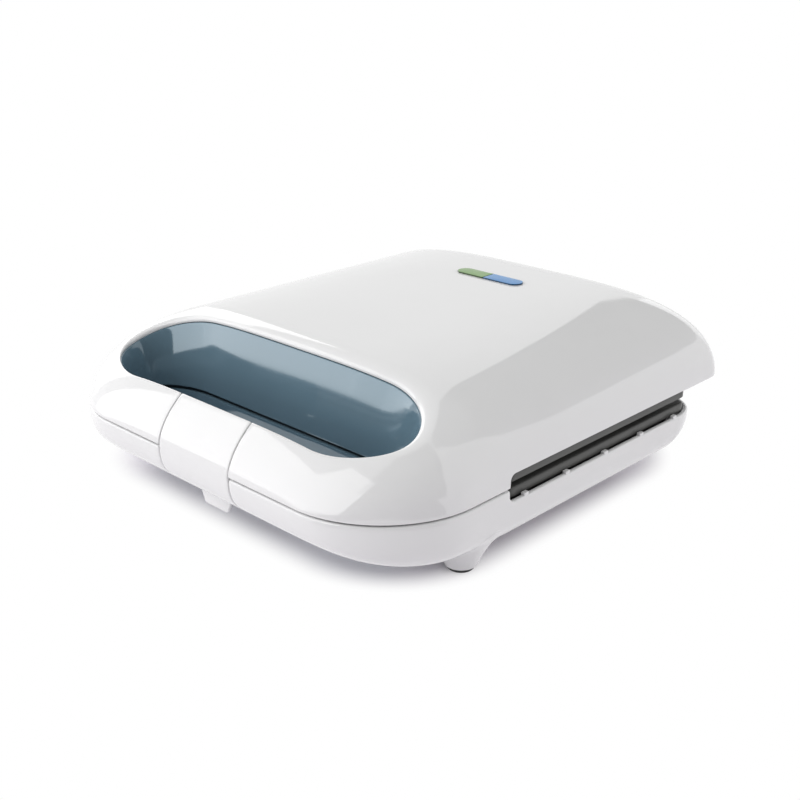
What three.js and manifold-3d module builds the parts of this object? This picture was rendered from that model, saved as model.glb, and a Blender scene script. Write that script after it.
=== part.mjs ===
// Sandwich maker: a base and a hinged lid, each a moulded shell that holds a cooking plate, a bent
// heating element and a heat reflector, with a finger opening through the front handle and a latch on it.
// Millimetres. X runs to the right, Y to the back, Z up. The origin is bottom centre of the whole body.
import * as THREE from "three";
import { mergeVertices } from "three/addons/utils/BufferGeometryUtils.js";
import Module from "manifold-3d";

const wasm = await Module();
wasm.setup();

// Whole body
const width = 230;
const depth = 252;
const seamHeight = 40.5;
const lidRise = 41;
const baseDrop = 30.5;
const wall = 2.4;
const seamGap = 0.6;
const clearance = 0.3;
const overrun = 2;
const frontY = -depth / 2;
const floorHeight = seamHeight - baseDrop;

// Hinge, from the back of the lid forward to the back of the base
const lidBehindHinge = 21;
const hingeBehindBase = 6.2;
const hingeRise = 0;
const knuckleRadius = 5;
const hingePinRadius = 2;
const hingeFromSide = 49;
const postHalf = 5;
const earThickness = 4;
const hingeGap = 0.6;
const earReach = 4.6;
const postFoot = 16;
const postInside = 8;
const pinRunning = 0.09;
const hingeBack = depth - lidBehindHinge;
const hingeCentre = width / 2 - hingeFromSide;
const baseDepth = hingeBack - hingeBehindBase;

// Both casings share the front outline, and each has its own profile. A power shapes a superellipse.
const cornerAcross = 48.7;
const cornerAlong = 48.6;
const cornerPower = 1.95;
const lidForm = {
  side: 1,
  halfWidth: width / 2,
  front: frontY,
  rear: frontY + depth,
  rise: lidRise,
  corner: { across: cornerAcross, along: cornerAlong, power: cornerPower },
  rearCorner: { across: 42.9, along: 21.6, power: 1.9 },
  nose: { along: 72.7, power: 1.75 },
  tail: { along: 28.7, power: 2.86 },
  acrossPower: 3.58,
  upPower: 2.88,
};
const baseForm = {
  side: -1,
  halfWidth: width / 2,
  front: frontY,
  rear: frontY + baseDepth,
  rise: baseDrop,
  corner: { across: cornerAcross, along: cornerAlong, power: cornerPower },
  rearCorner: { across: 24, along: 24, power: 2.3 },
  nose: { along: 98, power: 2.85 },
  tail: { along: 25.5, power: 2.05 },
  acrossPower: 11,
  upPower: 3.5,
};
const formRows = 24;
const formColumns = 22;

// Side slot that runs round the back between the two casings
const slotStart = 73;
const slotAboveSeam = 6.25;
const slotBelowSeam = 6.15;
const slotCorner = 3;
const slotY = frontY + slotStart;

// Rests for the lower plate along the slot
const restCount = 5;
const restFirst = 11;
const restPitch = 28.6;
const restLength = 3;
const restHeight = 1.1;

// Finger opening through the handle
const rimFront = 13.5;
const rimRear = 59.5;
const rimFromSide = 24.3;
const rimHalfLength = width / 2 - rimFromSide;
const rimEndLength = 32;
const rimHeight = 37;
const frontSlope = 0.179;
const sideSlope = 0.035;
const linerWall = 1.8;
const linerSink = 0.8;
const openingSides = 12;

// Latch on the handle bar
const latchHalfWidth = 23.9;
const latchGap = 0.5;
const latchWall = 2.4;
const latchDrop = 12;
const pivotBack = 11.8;
const pivotInset = 3;
const barrelRadius = 2.7;
const latchPinRadius = 1.5;
const latchFloorBack = 10;
const tabHalfTop = 10.5;
const tabHalfBottom = 7.4;
const tabThickness = 1.8;
const tabLength = 6.2;
const tabCorner = 2.2;
const notchBack = 14.3;
const noseHalfWidth = 9;
const noseDrop = 13;
const noseHeight = 3;
const noseGap = 0.8;
const catchDepth = 1.4;

// Cooking plates. Distances back are counted from the plate's front edge, and ahead from its rear edge.
const plateSetIn = 3;
const baseBehindPlate = 14.7;
const plateFrontGap = 0.9;
const plateHalfWidth = width / 2 - plateSetIn;
const plateRear = baseDepth - baseBehindPlate;
const plateLength = plateRear - slotStart - plateFrontGap;
const upperRimLow = 0.7;
const upperRimHigh = 5.9;
const lowerRimHigh = -1.2;
const lowerRimLow = -4.9;
const plateBack = 14;
const plateStep = 6;
const plateEndStep = 4;
const plateBodyHalf = plateHalfWidth - plateStep;
const pocketDepth = 9;
const pocketEdge = 8;
const pocketWeb = 10;
const ridgeWidth = 7;
const pocketDraft = 5;
const pocketCorner = 9;
const pocketCornerSides = 4;

// Heating elements and reflectors
const tubeRadius = 3.2;
const tubeSides = 8;
const tubeSteps = 44;
const loopSetIn = 36;
const loopFront = 18;
const loopAhead = 16;
const loopCorner = 20;
const loopGapHalf = 13;
const loopHalfWidth = plateHalfWidth - loopSetIn;
const loopRear = plateLength - loopAhead;
const ceramicRadius = 4.4;
const ceramicLength = 9;
const traySetIn = 12;
const trayFront = 7;
const trayAhead = 5;
const trayWall = 0.8;
const trayHeight = 8.2;
const trayWindowHalf = 27;
const trayWindowLength = 20;
const trayHalfWidth = plateHalfWidth - traySetIn;
const trayRear = plateLength - trayAhead;

// Screws through the plates into the casings
const screwFront = 48;
const screwAhead = 30;
const screwPlaces = { front: screwFront, rear: plateLength - screwAhead };
const screwHeadRadius = 4.4;
const screwHeadHeight = 2.2;
const screwShankRadius = 2;
const screwDepth = 12;
const postRadius = 5.5;
const roundSides = 20;

// Indicator window and lamps
const lensFromRear = 53.9;
const lensHalfLength = 21.3;
const lensCentreX = -1.9;
const lensJointX = -3.1;
const lensHalfWidth = 5;
const lensProud = 0.9;
const lensFlange = 1.2;
const lensSplit = 0.3;
const boardHalfLength = 32;
const boardHalfWidth = 9;
const boardThickness = 1.6;
const boardDrop = 11;
const boardPostRadius = 2.6;
const boardPostX = 28;
const lampRadius = 2.4;
const lampHeight = 5;
const lampX = 10;

// Thermostat and fuse on the back of the upper plate
const thermostat = { x: 30, ahead: 52, length: 18, breadth: 15, height: 5.4 };
const fuse = { x: -30, ahead: 52, length: 16, breadth: 7, height: 4.2 };

// Feet
const footRadius = 6;
const footHeight = 2.6;
const footShow = 2;
const footPegRadius = 2;
const footPegHeight = 5;
const bossRoot = 13.5;
const bossRise = 3;
const bossEdge = 0.6;
const frontFootSetIn = 20;
const frontFootBack = 66.1;
const rearFootSetIn = 39;
const rearFootAhead = 34.8;
const frontFoot = { x: width / 2 - frontFootSetIn, back: frontFootBack };
const rearFoot = { x: width / 2 - rearFootSetIn, back: baseDepth - rearFootAhead };

// Mains inlet: a bush in the back wall, and a bar that would hold the lead down behind it
const glandX = 44;
const glandDrop = 16.5;
const glandRadius = 5.5;
const glandFlange = 7.5;
const glandFlangeThickness = 1.6;
const glandInside = 6;
const glandBore = 3.3;
const glandHeight = seamHeight - glandDrop;
const clampLength = 22;
const clampBreadth = 6;
const clampThickness = 3;
const clampAhead = 11.8;
const clampScrewSpacing = 15;
const clampScrewRadius = 1.2;
const clampScrewLength = 10;
const clampScrewHead = 2.4;
const clampScrewHeadHeight = 1.5;
const clampPostRadius = 2.6;
const terminal = { x: 12, ahead: 12.8, length: 20, breadth: 9, height: 7, above: 13 };

const X = new THREE.Vector3(1, 0, 0);
const Y = new THREE.Vector3(0, 1, 0);
const Z = new THREE.Vector3(0, 0, 1);

// Solids and the shapes that they start from

// A closed geometry as a solid that can be cut and joined. Coinciding points become one.
function solid(geometry) {
  const bare = geometry.clone();
  bare.deleteAttribute("normal");
  bare.deleteAttribute("uv");
  const merged = mergeVertices(bare, width / 1e6);
  const index = merged.index.array;
  const kept = [];
  for (let i = 0; i < index.length; i += 3) {
    const [a, b, c] = [index[i], index[i + 1], index[i + 2]];
    if (a !== b && b !== c && c !== a) kept.push(a, b, c);
  }
  const vertProperties = merged.attributes.position.array;
  const triVerts = new Uint32Array(kept);
  return new wasm.Manifold(new wasm.Mesh({ numProp: 3, vertProperties, triVerts }));
}

function geometryOf(made) {
  const mesh = made.getMesh();
  const geometry = new THREE.BufferGeometry();
  geometry.setAttribute("position", new THREE.BufferAttribute(new Float32Array(mesh.vertProperties), 3));
  geometry.setIndex(new THREE.BufferAttribute(new Uint32Array(mesh.triVerts), 1));
  const flat = geometry.toNonIndexed();
  flat.computeVertexNormals();
  return flat;
}

// Points and triangles as a solid whose faces point out, whichever way round they all go.
function closed(points, faces) {
  let volume = 0;
  for (const [a, b, c] of faces) {
    volume += points[a].dot(new THREE.Vector3().crossVectors(points[b], points[c]));
  }
  const turned = volume < 0 ? faces.map(([a, b, c]) => [a, c, b]) : faces;
  const geometry = new THREE.BufferGeometry().setFromPoints(points);
  geometry.setIndex(turned.flat());
  return solid(geometry);
}

function block(x0, x1, y0, y1, z0, z1) {
  const box = new THREE.BoxGeometry(x1 - x0, y1 - y0, z1 - z0);
  return solid(box.translate((x0 + x1) / 2, (y0 + y1) / 2, (z0 + z1) / 2));
}

// A cylinder along an axis, from a start point.
function rod(radius, length, axis, start, sides = roundSides) {
  const bar = new THREE.CylinderGeometry(radius, radius, length, sides).translate(0, length / 2, 0);
  bar.applyQuaternion(new THREE.Quaternion().setFromUnitVectors(Y, axis));
  return solid(bar.translate(start.x, start.y, start.z));
}

// A flat outline in X and Y, carried up from z0 to z1.
function prismUp(shape, z0, z1) {
  const settings = { depth: z1 - z0, bevelEnabled: false, curveSegments: openingSides };
  return solid(new THREE.ExtrudeGeometry(shape, settings).translate(0, 0, z0));
}

// A flat outline in Y and Z, carried across from x0 to x1.
function prismAcross(shape, x0, x1) {
  const settings = { depth: x1 - x0, bevelEnabled: false, curveSegments: pocketCornerSides };
  const turn = new THREE.Matrix4().makeBasis(Y, Z, X);
  return solid(new THREE.ExtrudeGeometry(shape, settings).applyMatrix4(turn).translate(x0, 0, 0));
}

// A flat outline in X and Z, carried from y1 forward to y0.
function prismForward(shape, y0, y1) {
  const settings = { depth: y1 - y0, bevelEnabled: false, curveSegments: pocketCornerSides };
  const turn = new THREE.Matrix4().makeBasis(X, Z, Y.clone().negate());
  return solid(new THREE.ExtrudeGeometry(shape, settings).applyMatrix4(turn).translate(0, y1, 0));
}

// The space between two sheets of points that have the same rows and columns.
function slab(top, bottom) {
  const rows = top.length;
  const columns = top[0].length;
  const points = [...top.flat(), ...bottom.flat()];
  const at = (sheet, i, j) => sheet * rows * columns + i * columns + j;
  const faces = [];
  const quad = (a, b, c, d) => faces.push([a, b, c], [a, c, d]);
  for (let i = 0; i < rows - 1; i++) {
    for (let j = 0; j < columns - 1; j++) {
      quad(at(0, i, j), at(0, i + 1, j), at(0, i + 1, j + 1), at(0, i, j + 1));
      quad(at(1, i, j), at(1, i, j + 1), at(1, i + 1, j + 1), at(1, i + 1, j));
    }
    quad(at(0, i + 1, 0), at(0, i, 0), at(1, i, 0), at(1, i + 1, 0));
    const last = columns - 1;
    quad(at(0, i, last), at(0, i + 1, last), at(1, i + 1, last), at(1, i, last));
  }
  for (let j = 0; j < columns - 1; j++) {
    quad(at(0, 0, j), at(0, 0, j + 1), at(1, 0, j + 1), at(1, 0, j));
    const last = rows - 1;
    quad(at(0, last, j + 1), at(0, last, j), at(1, last, j), at(1, last, j + 1));
  }
  return closed(points, faces);
}

// Round-cornered outlines of equal point counts at rising heights, walled between and capped at both ends.
function stack(outlines, heights) {
  const count = outlines[0].length;
  const points = outlines.flatMap((line, k) => line.map((p) => new THREE.Vector3(p.x, p.y, heights[k])));
  const faces = [];
  for (let k = 0; k < outlines.length - 1; k++) {
    for (let i = 0; i < count; i++) {
      const next = (i + 1) % count;
      const [a, b] = [k * count + i, k * count + next];
      faces.push([a, b, b + count], [a, b + count, a + count]);
    }
  }
  const top = (outlines.length - 1) * count;
  for (let i = 1; i < count - 1; i++) {
    faces.push([0, i + 1, i], [top, top + i, top + i + 1]);
  }
  return closed(points, faces);
}

const joined = (...solids) => solids.reduce((whole, next) => whole.add(next));
const carved = (body, ...cuts) => cuts.reduce((left, cut) => left.subtract(cut), body);

// The casing surface

// How far a superellipse has risen, as a share of its full height, at a distance from its end.
function risen(distance, reach, power) {
  const left = 1 - Math.min(Math.max(distance / reach, 0), 1);
  return Math.pow(1 - Math.pow(left, power), 1 / power);
}

// Half the width of a form at y, drawn in by an inset all round.
function halfAt(form, inset, y) {
  const { corner, rearCorner } = form;
  const front = 1 - risen(y - form.front - inset, corner.along - inset, corner.power);
  const rear = 1 - risen(form.rear - inset - y, rearCorner.along - inset, rearCorner.power);
  return form.halfWidth - inset - (corner.across - inset) * front - (rearCorner.across - inset) * rear;
}

// Height of a form's middle line from the seam at y, drawn in by an inset.
function highAt(form, inset, y) {
  const nose = risen(y - form.front - inset, form.nose.along - inset, form.nose.power);
  const tail = risen(form.rear - inset - y, form.tail.along - inset, form.tail.power);
  return (form.rise - inset) * nose * tail;
}

// A casing form as a solid from the seam outwards. It reaches past the seam by the drop.
function formSolid(form, inset, drop) {
  const outer = [];
  const flat = [];
  const length = form.rear - form.front - 2 * inset;
  for (let i = 0; i <= formRows; i++) {
    const y = form.front + inset + (length * (1 - Math.cos((Math.PI * i) / formRows))) / 2;
    const half = halfAt(form, inset, y);
    const high = highAt(form, inset, y);
    const line = [];
    for (let j = 0; j <= formColumns; j++) {
      const angle = (Math.PI * j) / formColumns;
      const across = Math.sign(Math.cos(angle)) * Math.pow(Math.abs(Math.cos(angle)), 2 / form.acrossPower);
      const up = Math.pow(Math.max(Math.sin(angle), 0), 2 / form.upPower);
      line.push(new THREE.Vector3(half * across, y, seamHeight + form.side * high * up));
    }
    outer.push(line);
    flat.push(line.map((p) => new THREE.Vector3(p.x, y, seamHeight - form.side * drop)));
  }
  return slab(outer, flat);
}

const up = (rise) => seamHeight + rise;
const back = (distance) => frontY + distance;
const wideX = width;
const high = up(lidRise + overrun);
const low = -overrun;

const lidSolid = formSolid(lidForm, 0, 0);
const lidHollow = formSolid(lidForm, wall, overrun);
const baseSolid = formSolid(baseForm, 0, 0);
const baseHollow = formSolid(baseForm, wall, overrun);
const aboveSeam = block(-wideX, wideX, frontY - overrun, frontY + depth + overrun, up(seamGap / 2), high);
const belowSeam = block(-wideX, wideX, frontY - overrun, frontY + depth + overrun, low, up(-seamGap / 2));

// The finger opening

// An outline with a straight front and rear edge and elliptical ends.
function oval(front, rear, half, end) {
  const outline = [];
  for (const way of [1, -1]) {
    for (let i = 0; i <= openingSides; i++) {
      const angle = (Math.PI * i) / openingSides - Math.PI / 2;
      const x = half - end + end * Math.cos(angle);
      const y = ((rear - front) / 2) * Math.sin(angle);
      outline.push(new THREE.Vector2(way * x, (front + rear) / 2 + way * y));
    }
  }
  return outline;
}

// The rim's front edge lies where the opening meets the casing's skin.
const rimFrontRise = highAt(lidForm, 0, back(rimFront));

// The opening narrows from the rim down to the seam and runs straight below it.
function openingOutline(rise, inset) {
  const above = Math.min(Math.max(rise, 0), rimHeight);
  const front = back(rimFront) + (rimFrontRise - above) * frontSlope + inset;
  const drawn = (rimHeight - above) * sideSlope + inset;
  return oval(front, back(rimRear) - drawn, rimHalfLength - drawn, rimEndLength - inset);
}

const rimOutline = oval(back(rimFront), back(rimRear), rimHalfLength, rimEndLength);
const upperHole = prismUp(new THREE.Shape(rimOutline), up(-overrun), high);
const lowerHole = prismUp(new THREE.Shape(openingOutline(0, 0)), low, up(overrun));
const loweredBar = Math.min(...openingOutline(0, 0).map((p) => p.y));

// Latch profile along the handle bar, from the upper rim round the front to under the base

const pivotY = back(pivotBack);
const pivotZ = up(highAt(lidForm, pivotInset, pivotY));

// Points of one casing's middle profile, from the front end back to a distance, drawn in by an inset.
function profile(form, reach, inset, steps) {
  const line = [];
  const along = form.nose.along - inset;
  const share = 1 - Math.max(reach - inset, 0) / along;
  const last = Math.acos(Math.pow(share, form.nose.power / 2));
  for (let i = 0; i <= steps; i++) {
    const angle = (last * i) / steps;
    const y = form.front + inset + along * (1 - Math.pow(Math.cos(angle), 2 / form.nose.power));
    line.push(new THREE.Vector2(y, seamHeight + form.side * highAt(form, inset, y)));
  }
  return line;
}

const profileSteps = 8;

function latchBand() {
  const outside = [
    ...profile(lidForm, rimFront, 0, profileSteps).reverse(),
    ...profile(baseForm, latchDrop, 0, profileSteps).slice(1),
  ];
  const inside = [
    ...profile(lidForm, rimFront, latchWall, profileSteps).reverse(),
    ...profile(baseForm, latchDrop, latchWall, profileSteps).slice(1),
  ];
  return prismAcross(new THREE.Shape([...outside, ...inside.reverse()]), -latchHalfWidth, latchHalfWidth);
}

function latchTab() {
  const top = up(-highAt(baseForm, 0, back(latchDrop))) + tabThickness;
  const bottom = top - tabThickness - tabLength;
  const shape = new THREE.Shape();
  shape.moveTo(-tabHalfTop, top);
  shape.lineTo(-tabHalfBottom, bottom + tabCorner);
  shape.quadraticCurveTo(-tabHalfBottom, bottom, -tabHalfBottom + tabCorner, bottom);
  shape.lineTo(tabHalfBottom - tabCorner, bottom);
  shape.quadraticCurveTo(tabHalfBottom, bottom, tabHalfBottom, bottom + tabCorner);
  shape.lineTo(tabHalfTop, top);
  shape.closePath();
  return prismForward(shape, back(latchDrop) - tabThickness / 2, back(latchDrop) + tabThickness / 2);
}

// A wedge on the inside of the band that points at the catch pocket in the base.
function latchNose() {
  const z = up(-noseDrop);
  const start = back(latchWall);
  const tip = back(notchBack) - noseGap;
  const shape = new THREE.Shape([
    new THREE.Vector2(start, z - noseHeight),
    new THREE.Vector2(tip, z),
    new THREE.Vector2(tip, z + noseHeight / 2),
    new THREE.Vector2(start, z + noseHeight),
  ]);
  const front = formSolid(baseForm, latchWall / 2, 0);
  return prismAcross(shape, -noseHalfWidth, noseHalfWidth).intersect(front);
}

function latch() {
  const barrel = rod(barrelRadius, 2 * latchHalfWidth, X, new THREE.Vector3(-latchHalfWidth, pivotY, pivotZ));
  const bore = latchBore(latchHalfWidth + overrun);
  return carved(joined(latchBand(), latchTab(), latchNose(), barrel), bore);
}

function latchBore(half) {
  return rod(latchPinRadius + pinRunning, 2 * half, X, new THREE.Vector3(-half, pivotY, pivotZ));
}

const latchPinHalf = latchHalfWidth + latchGap + wall - clearance;

// Places of the pieces that both halves repeat

const plateFrontY = slotY + plateFrontGap;
const plateRearY = back(plateRear);
const inPlate = (distance) => plateFrontY + distance;
const hingeY = back(hingeBack);
const hingeZ = up(hingeRise);
const lensY = frontY + depth - lensFromRear;

// Everything behind the slot's front end is cut away between two heights, with a rounded front corner.
function slotCut(z0, z1, roundTop) {
  const shape = new THREE.Shape();
  const farY = frontY + depth + overrun;
  shape.moveTo(farY, z0);
  shape.lineTo(farY, z1);
  if (roundTop) {
    shape.lineTo(slotY + slotCorner, z1);
    shape.quadraticCurveTo(slotY, z1, slotY, z1 - slotCorner);
    shape.lineTo(slotY, z0);
  } else {
    shape.lineTo(slotY, z1);
    shape.lineTo(slotY, z0 + slotCorner);
    shape.quadraticCurveTo(slotY, z0, slotY + slotCorner, z0);
  }
  shape.closePath();
  return prismAcross(shape, -wideX, wideX);
}

// A post for a plate screw, from the casing's inner skin to the plate's back.
function screwPost(form, place) {
  const reach = up(form.side * (plateBack + clearance));
  const far = up(form.side * (form.rise - wall / 2));
  const [z0, z1] = [Math.min(reach, far), Math.max(reach, far)];
  const y = inPlate(place);
  return rod(postRadius, z1 - z0, Z, new THREE.Vector3(0, y, z0));
}

function screwBore(form, place) {
  const from = up(form.side * plateBack) - form.side * overrun;
  const deep = screwDepth + overrun + clearance;
  const start = new THREE.Vector3(0, inPlate(place), form.side > 0 ? from : from - deep);
  return rod(screwShankRadius + clearance, deep, Z, start);
}

// The walls of the latch recess: a full block inside the skin, from the front to a plane.
function latchWalls(form, full, backY) {
  const half = latchHalfWidth + latchGap + wall;
  return block(-half, half, frontY - overrun, backY, low, high).intersect(full);
}

// Lid

function ears() {
  const solids = [];
  for (const way of [-1, 1]) {
    for (const out of [-1, 1]) {
      const near = way * hingeCentre + out * (postHalf + hingeGap);
      const far = near + out * earThickness;
      const [x0, x1] = [Math.min(near, far), Math.max(near, far)];
      const barrel = rod(knuckleRadius, x1 - x0, X, new THREE.Vector3(x0, hingeY, hingeZ));
      const plate = block(x0, x1, hingeY - earReach, hingeY + earReach, hingeZ, high);
      solids.push(joined(plate.intersect(formSolid(lidForm, wall / 2, 0)), barrel));
    }
  }
  return joined(...solids);
}

// A cylinder on the hinge axis, centred on one of the two hinges.
function hingeRod(radius, half, way) {
  return rod(radius, 2 * half, X, new THREE.Vector3(way * hingeCentre - half, hingeY, hingeZ));
}

function hingeBores() {
  const half = postHalf + hingeGap + earThickness + overrun;
  return joined(...[-1, 1].map((way) => hingeRod(hingePinRadius + pinRunning, half, way)));
}

function boardPosts() {
  const z0 = up(lidRise - boardDrop + boardThickness + clearance);
  const z1 = up(lidRise - wall / 2);
  const places = [-boardPostX, boardPostX].map((x) => new THREE.Vector3(x, lensY, z0));
  return joined(...places.map((place) => rod(boardPostRadius, z1 - z0, Z, place, tubeSides)));
}

// The long window's outline, with round ends.
function windowShape(inset) {
  const radius = lensHalfWidth - inset;
  const straight = lensHalfLength - lensHalfWidth;
  const shape = new THREE.Shape();
  shape.absarc(lensCentreX + straight, lensY, radius, -Math.PI / 2, Math.PI / 2, false);
  shape.absarc(lensCentreX - straight, lensY, radius, Math.PI / 2, (Math.PI * 3) / 2, false);
  return shape;
}

function upperCasing() {
  const bulkhead = block(-wideX, wideX, slotY - wall, slotY, low, high);
  const hollow = carved(lidHollow, bulkhead);
  const shell = carved(lidSolid, hollow);
  const recessWalls = latchWalls(lidForm, lidSolid, back(rimFront) + overrun);
  const posts = joined(...Object.values(screwPlaces).map((place) => screwPost(lidForm, place)));
  const solidParts = joined(shell, recessWalls, posts, boardPosts());
  const half = latchHalfWidth + latchGap;
  const floorTop = pivotZ - barrelRadius - clearance;
  const latchRoom = joined(
    block(-half, half, frontY - overrun, back(latchFloorBack), low, high),
    block(-half, half, frontY - overrun, back(rimFront) + overrun, floorTop, high),
  );
  const cuts = [
    upperHole,
    slotCut(low, up(slotAboveSeam), true),
    latchRoom,
    latchBore(latchPinHalf),
    prismUp(windowShape(0), up(lidRise - 2 * wall), high),
    ...Object.values(screwPlaces).map((place) => screwBore(lidForm, place)),
  ];
  const trimmed = carved(solidParts, ...cuts).intersect(aboveSeam);
  return carved(joined(trimmed, ears()), hingeBores());
}

// A liner is a ring between two stacked outlines. Its free edge stops short of the casing's skin.
function liner(form, z0, z1) {
  const heights = [z0, z1];
  const ring = (inset) => stack(heights.map((z) => openingOutline(z - seamHeight, inset)), heights);
  const tall = carved(ring(clearance), ring(clearance + linerWall));
  return tall.intersect(formSolid(form, linerSink, 0));
}

function upperLiner() {
  const half = latchHalfWidth + latchGap;
  const swing = pivotZ - barrelRadius - clearance;
  const room = block(-half, half, frontY, back((rimFront + rimRear) / 2), swing, high);
  return carved(liner(lidForm, up(seamGap / 2), up(rimHeight + overrun)), room);
}

// Half of the long window: a plug that stands proud of the casing, with a flange behind the skin.
function lens(way) {
  const skin = up(lidRise - wall) - clearance;
  const plug = prismUp(windowShape(clearance), skin - lensFlange, up(lidRise + lensProud));
  const flange = prismUp(windowShape(-lensFlange), skin - lensFlange, skin);
  const joint = lensJointX + (way * lensSplit) / 2;
  const [x0, x1] = way > 0 ? [joint, wideX] : [-wideX, joint];
  return joined(plug, flange).intersect(block(x0, x1, lensY - wideX, lensY + wideX, low, 2 * high));
}

const boardTop = up(lidRise - boardDrop + boardThickness);

function lampBoard() {
  const [y0, y1] = [lensY - boardHalfWidth, lensY + boardHalfWidth];
  return block(-boardHalfLength, boardHalfLength, y0, y1, boardTop - boardThickness, boardTop);
}

function lamp(way) {
  const place = new THREE.Vector3(lensJointX + way * lampX, lensY, boardTop);
  const bulb = new THREE.SphereGeometry(lampRadius, tubeSides, tubeSides);
  const dome = solid(bulb.translate(place.x, place.y, place.z + lampHeight - lampRadius));
  return joined(rod(lampRadius, lampHeight - lampRadius, Z, place, tubeSides), dome);
}

// Plates, elements and reflectors, the same for both halves but for their rims

// A three-cornered pocket: its outline is drawn in as it goes deeper, with rounded corners.
function pocketOutline(corners, inset, radius) {
  const centre = corners.reduce((sum, p) => sum.add(p), new THREE.Vector2()).divideScalar(corners.length);
  const edges = corners.map((p, i) => {
    const q = corners[(i + 1) % corners.length];
    const along = q.clone().sub(p).normalize();
    const inward = new THREE.Vector2(-along.y, along.x);
    if (inward.dot(centre.clone().sub(p)) < 0) inward.negate();
    return { point: p.clone().addScaledVector(inward, inset + radius), along };
  });
  const outline = [];
  edges.forEach((edge, i) => {
    const before = edges[(i + edges.length - 1) % edges.length];
    const gap = edge.point.clone().sub(before.point);
    const turn = before.along.cross(edge.along);
    const hub = before.point.clone().addScaledVector(before.along, gap.cross(edge.along) / turn);
    const side = Math.sign(turn);
    const from = Math.atan2(-side * before.along.x, side * before.along.y);
    const sweep = Math.acos(Math.min(Math.max(before.along.dot(edge.along), -1), 1)) * side;
    for (let k = 0; k <= pocketCornerSides; k++) {
      const angle = from + (sweep * k) / pocketCornerSides;
      outline.push(new THREE.Vector2(hub.x + radius * Math.cos(angle), hub.y + radius * Math.sin(angle)));
    }
  });
  return outline;
}

// Two three-cornered pockets on each side of the middle web, split by a slanting ridge.
function pockets(rim, floor) {
  const front = plateFrontY + pocketEdge;
  const rear = plateRearY - pocketEdge;
  const [near, far] = [pocketWeb / 2, plateBodyHalf - pocketEdge / 2];
  const gap = ridgeWidth / 2;
  const solids = [];
  for (const way of [-1, 1]) {
    const corner = (x, y) => new THREE.Vector2(way * x, y);
    const slope = new THREE.Vector2(far - near, rear - front).normalize();
    const [dx, dy] = [gap / slope.y, gap / slope.x];
    const triangles = [
      [corner(near + dx, front), corner(far, front), corner(far, rear - dy)],
      [corner(near, front + dy), corner(far - dx, rear), corner(near, rear)],
    ];
    for (const triangle of triangles) {
      const top = pocketOutline(triangle, 0, pocketCorner);
      const bottom = pocketOutline(triangle, pocketDraft, pocketCorner);
      const above = pocketOutline(triangle, -pocketDraft * (overrun / pocketDepth), pocketCorner);
      const away = rim + Math.sign(rim - floor) * overrun;
      solids.push(stack([bottom, top, above], [floor, rim, away]));
    }
  }
  return joined(...solids);
}

function plate(form, rimFace, rimBack) {
  const face = up(rimFace);
  const under = up(rimBack);
  const backFace = up(form.side * plateBack);
  const ordered = (a, b) => [Math.min(a, b), Math.max(a, b)];
  const flange = block(-plateHalfWidth, plateHalfWidth, plateFrontY, plateRearY, ...ordered(face, under));
  const body = block(
    -plateBodyHalf,
    plateBodyHalf,
    plateFrontY + plateEndStep,
    plateRearY - plateEndStep,
    ...ordered(face, backFace),
  );
  const holes = Object.values(screwPlaces).flatMap((place) => {
    const y = inPlate(place);
    const tall = 2 * (plateBack + overrun);
    const sink = screwHeadHeight + clearance;
    const [z0, z1] = ordered(face - form.side * overrun, face + form.side * sink);
    return [
      rod(screwShankRadius + clearance, tall, Z, new THREE.Vector3(0, y, seamHeight - tall / 2)),
      rod(screwHeadRadius + clearance, z1 - z0, Z, new THREE.Vector3(0, y, z0)),
    ];
  });
  return carved(joined(flange, body), pockets(face, face + form.side * pocketDepth), ...holes);
}

function plateScrew(form, rimFace, place) {
  const y = inPlate(place);
  const face = up(rimFace);
  const length = form.side * (plateBack + screwDepth) - rimFace;
  const [z0, z1] = [Math.min(face, face + length), Math.max(face, face + length)];
  const head = form.side > 0 ? z0 : z1 - screwHeadHeight;
  return joined(
    rod(screwHeadRadius, screwHeadHeight, Z, new THREE.Vector3(0, y, head)),
    rod(screwShankRadius, z1 - z0, Z, new THREE.Vector3(0, y, z0)),
  );
}

const elementRise = plateBack + clearance + tubeRadius;

// The element's middle line: a rounded loop, open at the middle of its back.
function elementPath(form) {
  const [y0, y1] = [inPlate(loopFront), inPlate(loopRear)];
  const bend = new THREE.Path();
  bend.moveTo(-loopGapHalf, y1);
  bend.lineTo(-loopHalfWidth + loopCorner, y1);
  bend.absarc(-loopHalfWidth + loopCorner, y1 - loopCorner, loopCorner, Math.PI / 2, Math.PI, false);
  bend.absarc(-loopHalfWidth + loopCorner, y0 + loopCorner, loopCorner, Math.PI, (Math.PI * 3) / 2, false);
  bend.absarc(loopHalfWidth - loopCorner, y0 + loopCorner, loopCorner, -Math.PI / 2, 0, false);
  bend.absarc(loopHalfWidth - loopCorner, y1 - loopCorner, loopCorner, 0, Math.PI / 2, false);
  bend.lineTo(loopGapHalf, y1);
  const height = up(form.side * elementRise);
  const line = bend.getSpacedPoints(tubeSteps).map((p) => new THREE.Vector3(p.x, p.y, height));
  return new THREE.CatmullRomCurve3(line);
}

function element(form) {
  const section = new THREE.Shape();
  for (let i = 0; i < tubeSides; i++) {
    const angle = (2 * Math.PI * i) / tubeSides;
    const [x, y] = [tubeRadius * Math.cos(angle), tubeRadius * Math.sin(angle)];
    if (i === 0) section.moveTo(x, y);
    else section.lineTo(x, y);
  }
  section.closePath();
  return solid(new THREE.ExtrudeGeometry(section, { steps: tubeSteps, extrudePath: elementPath(form) }));
}

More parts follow.
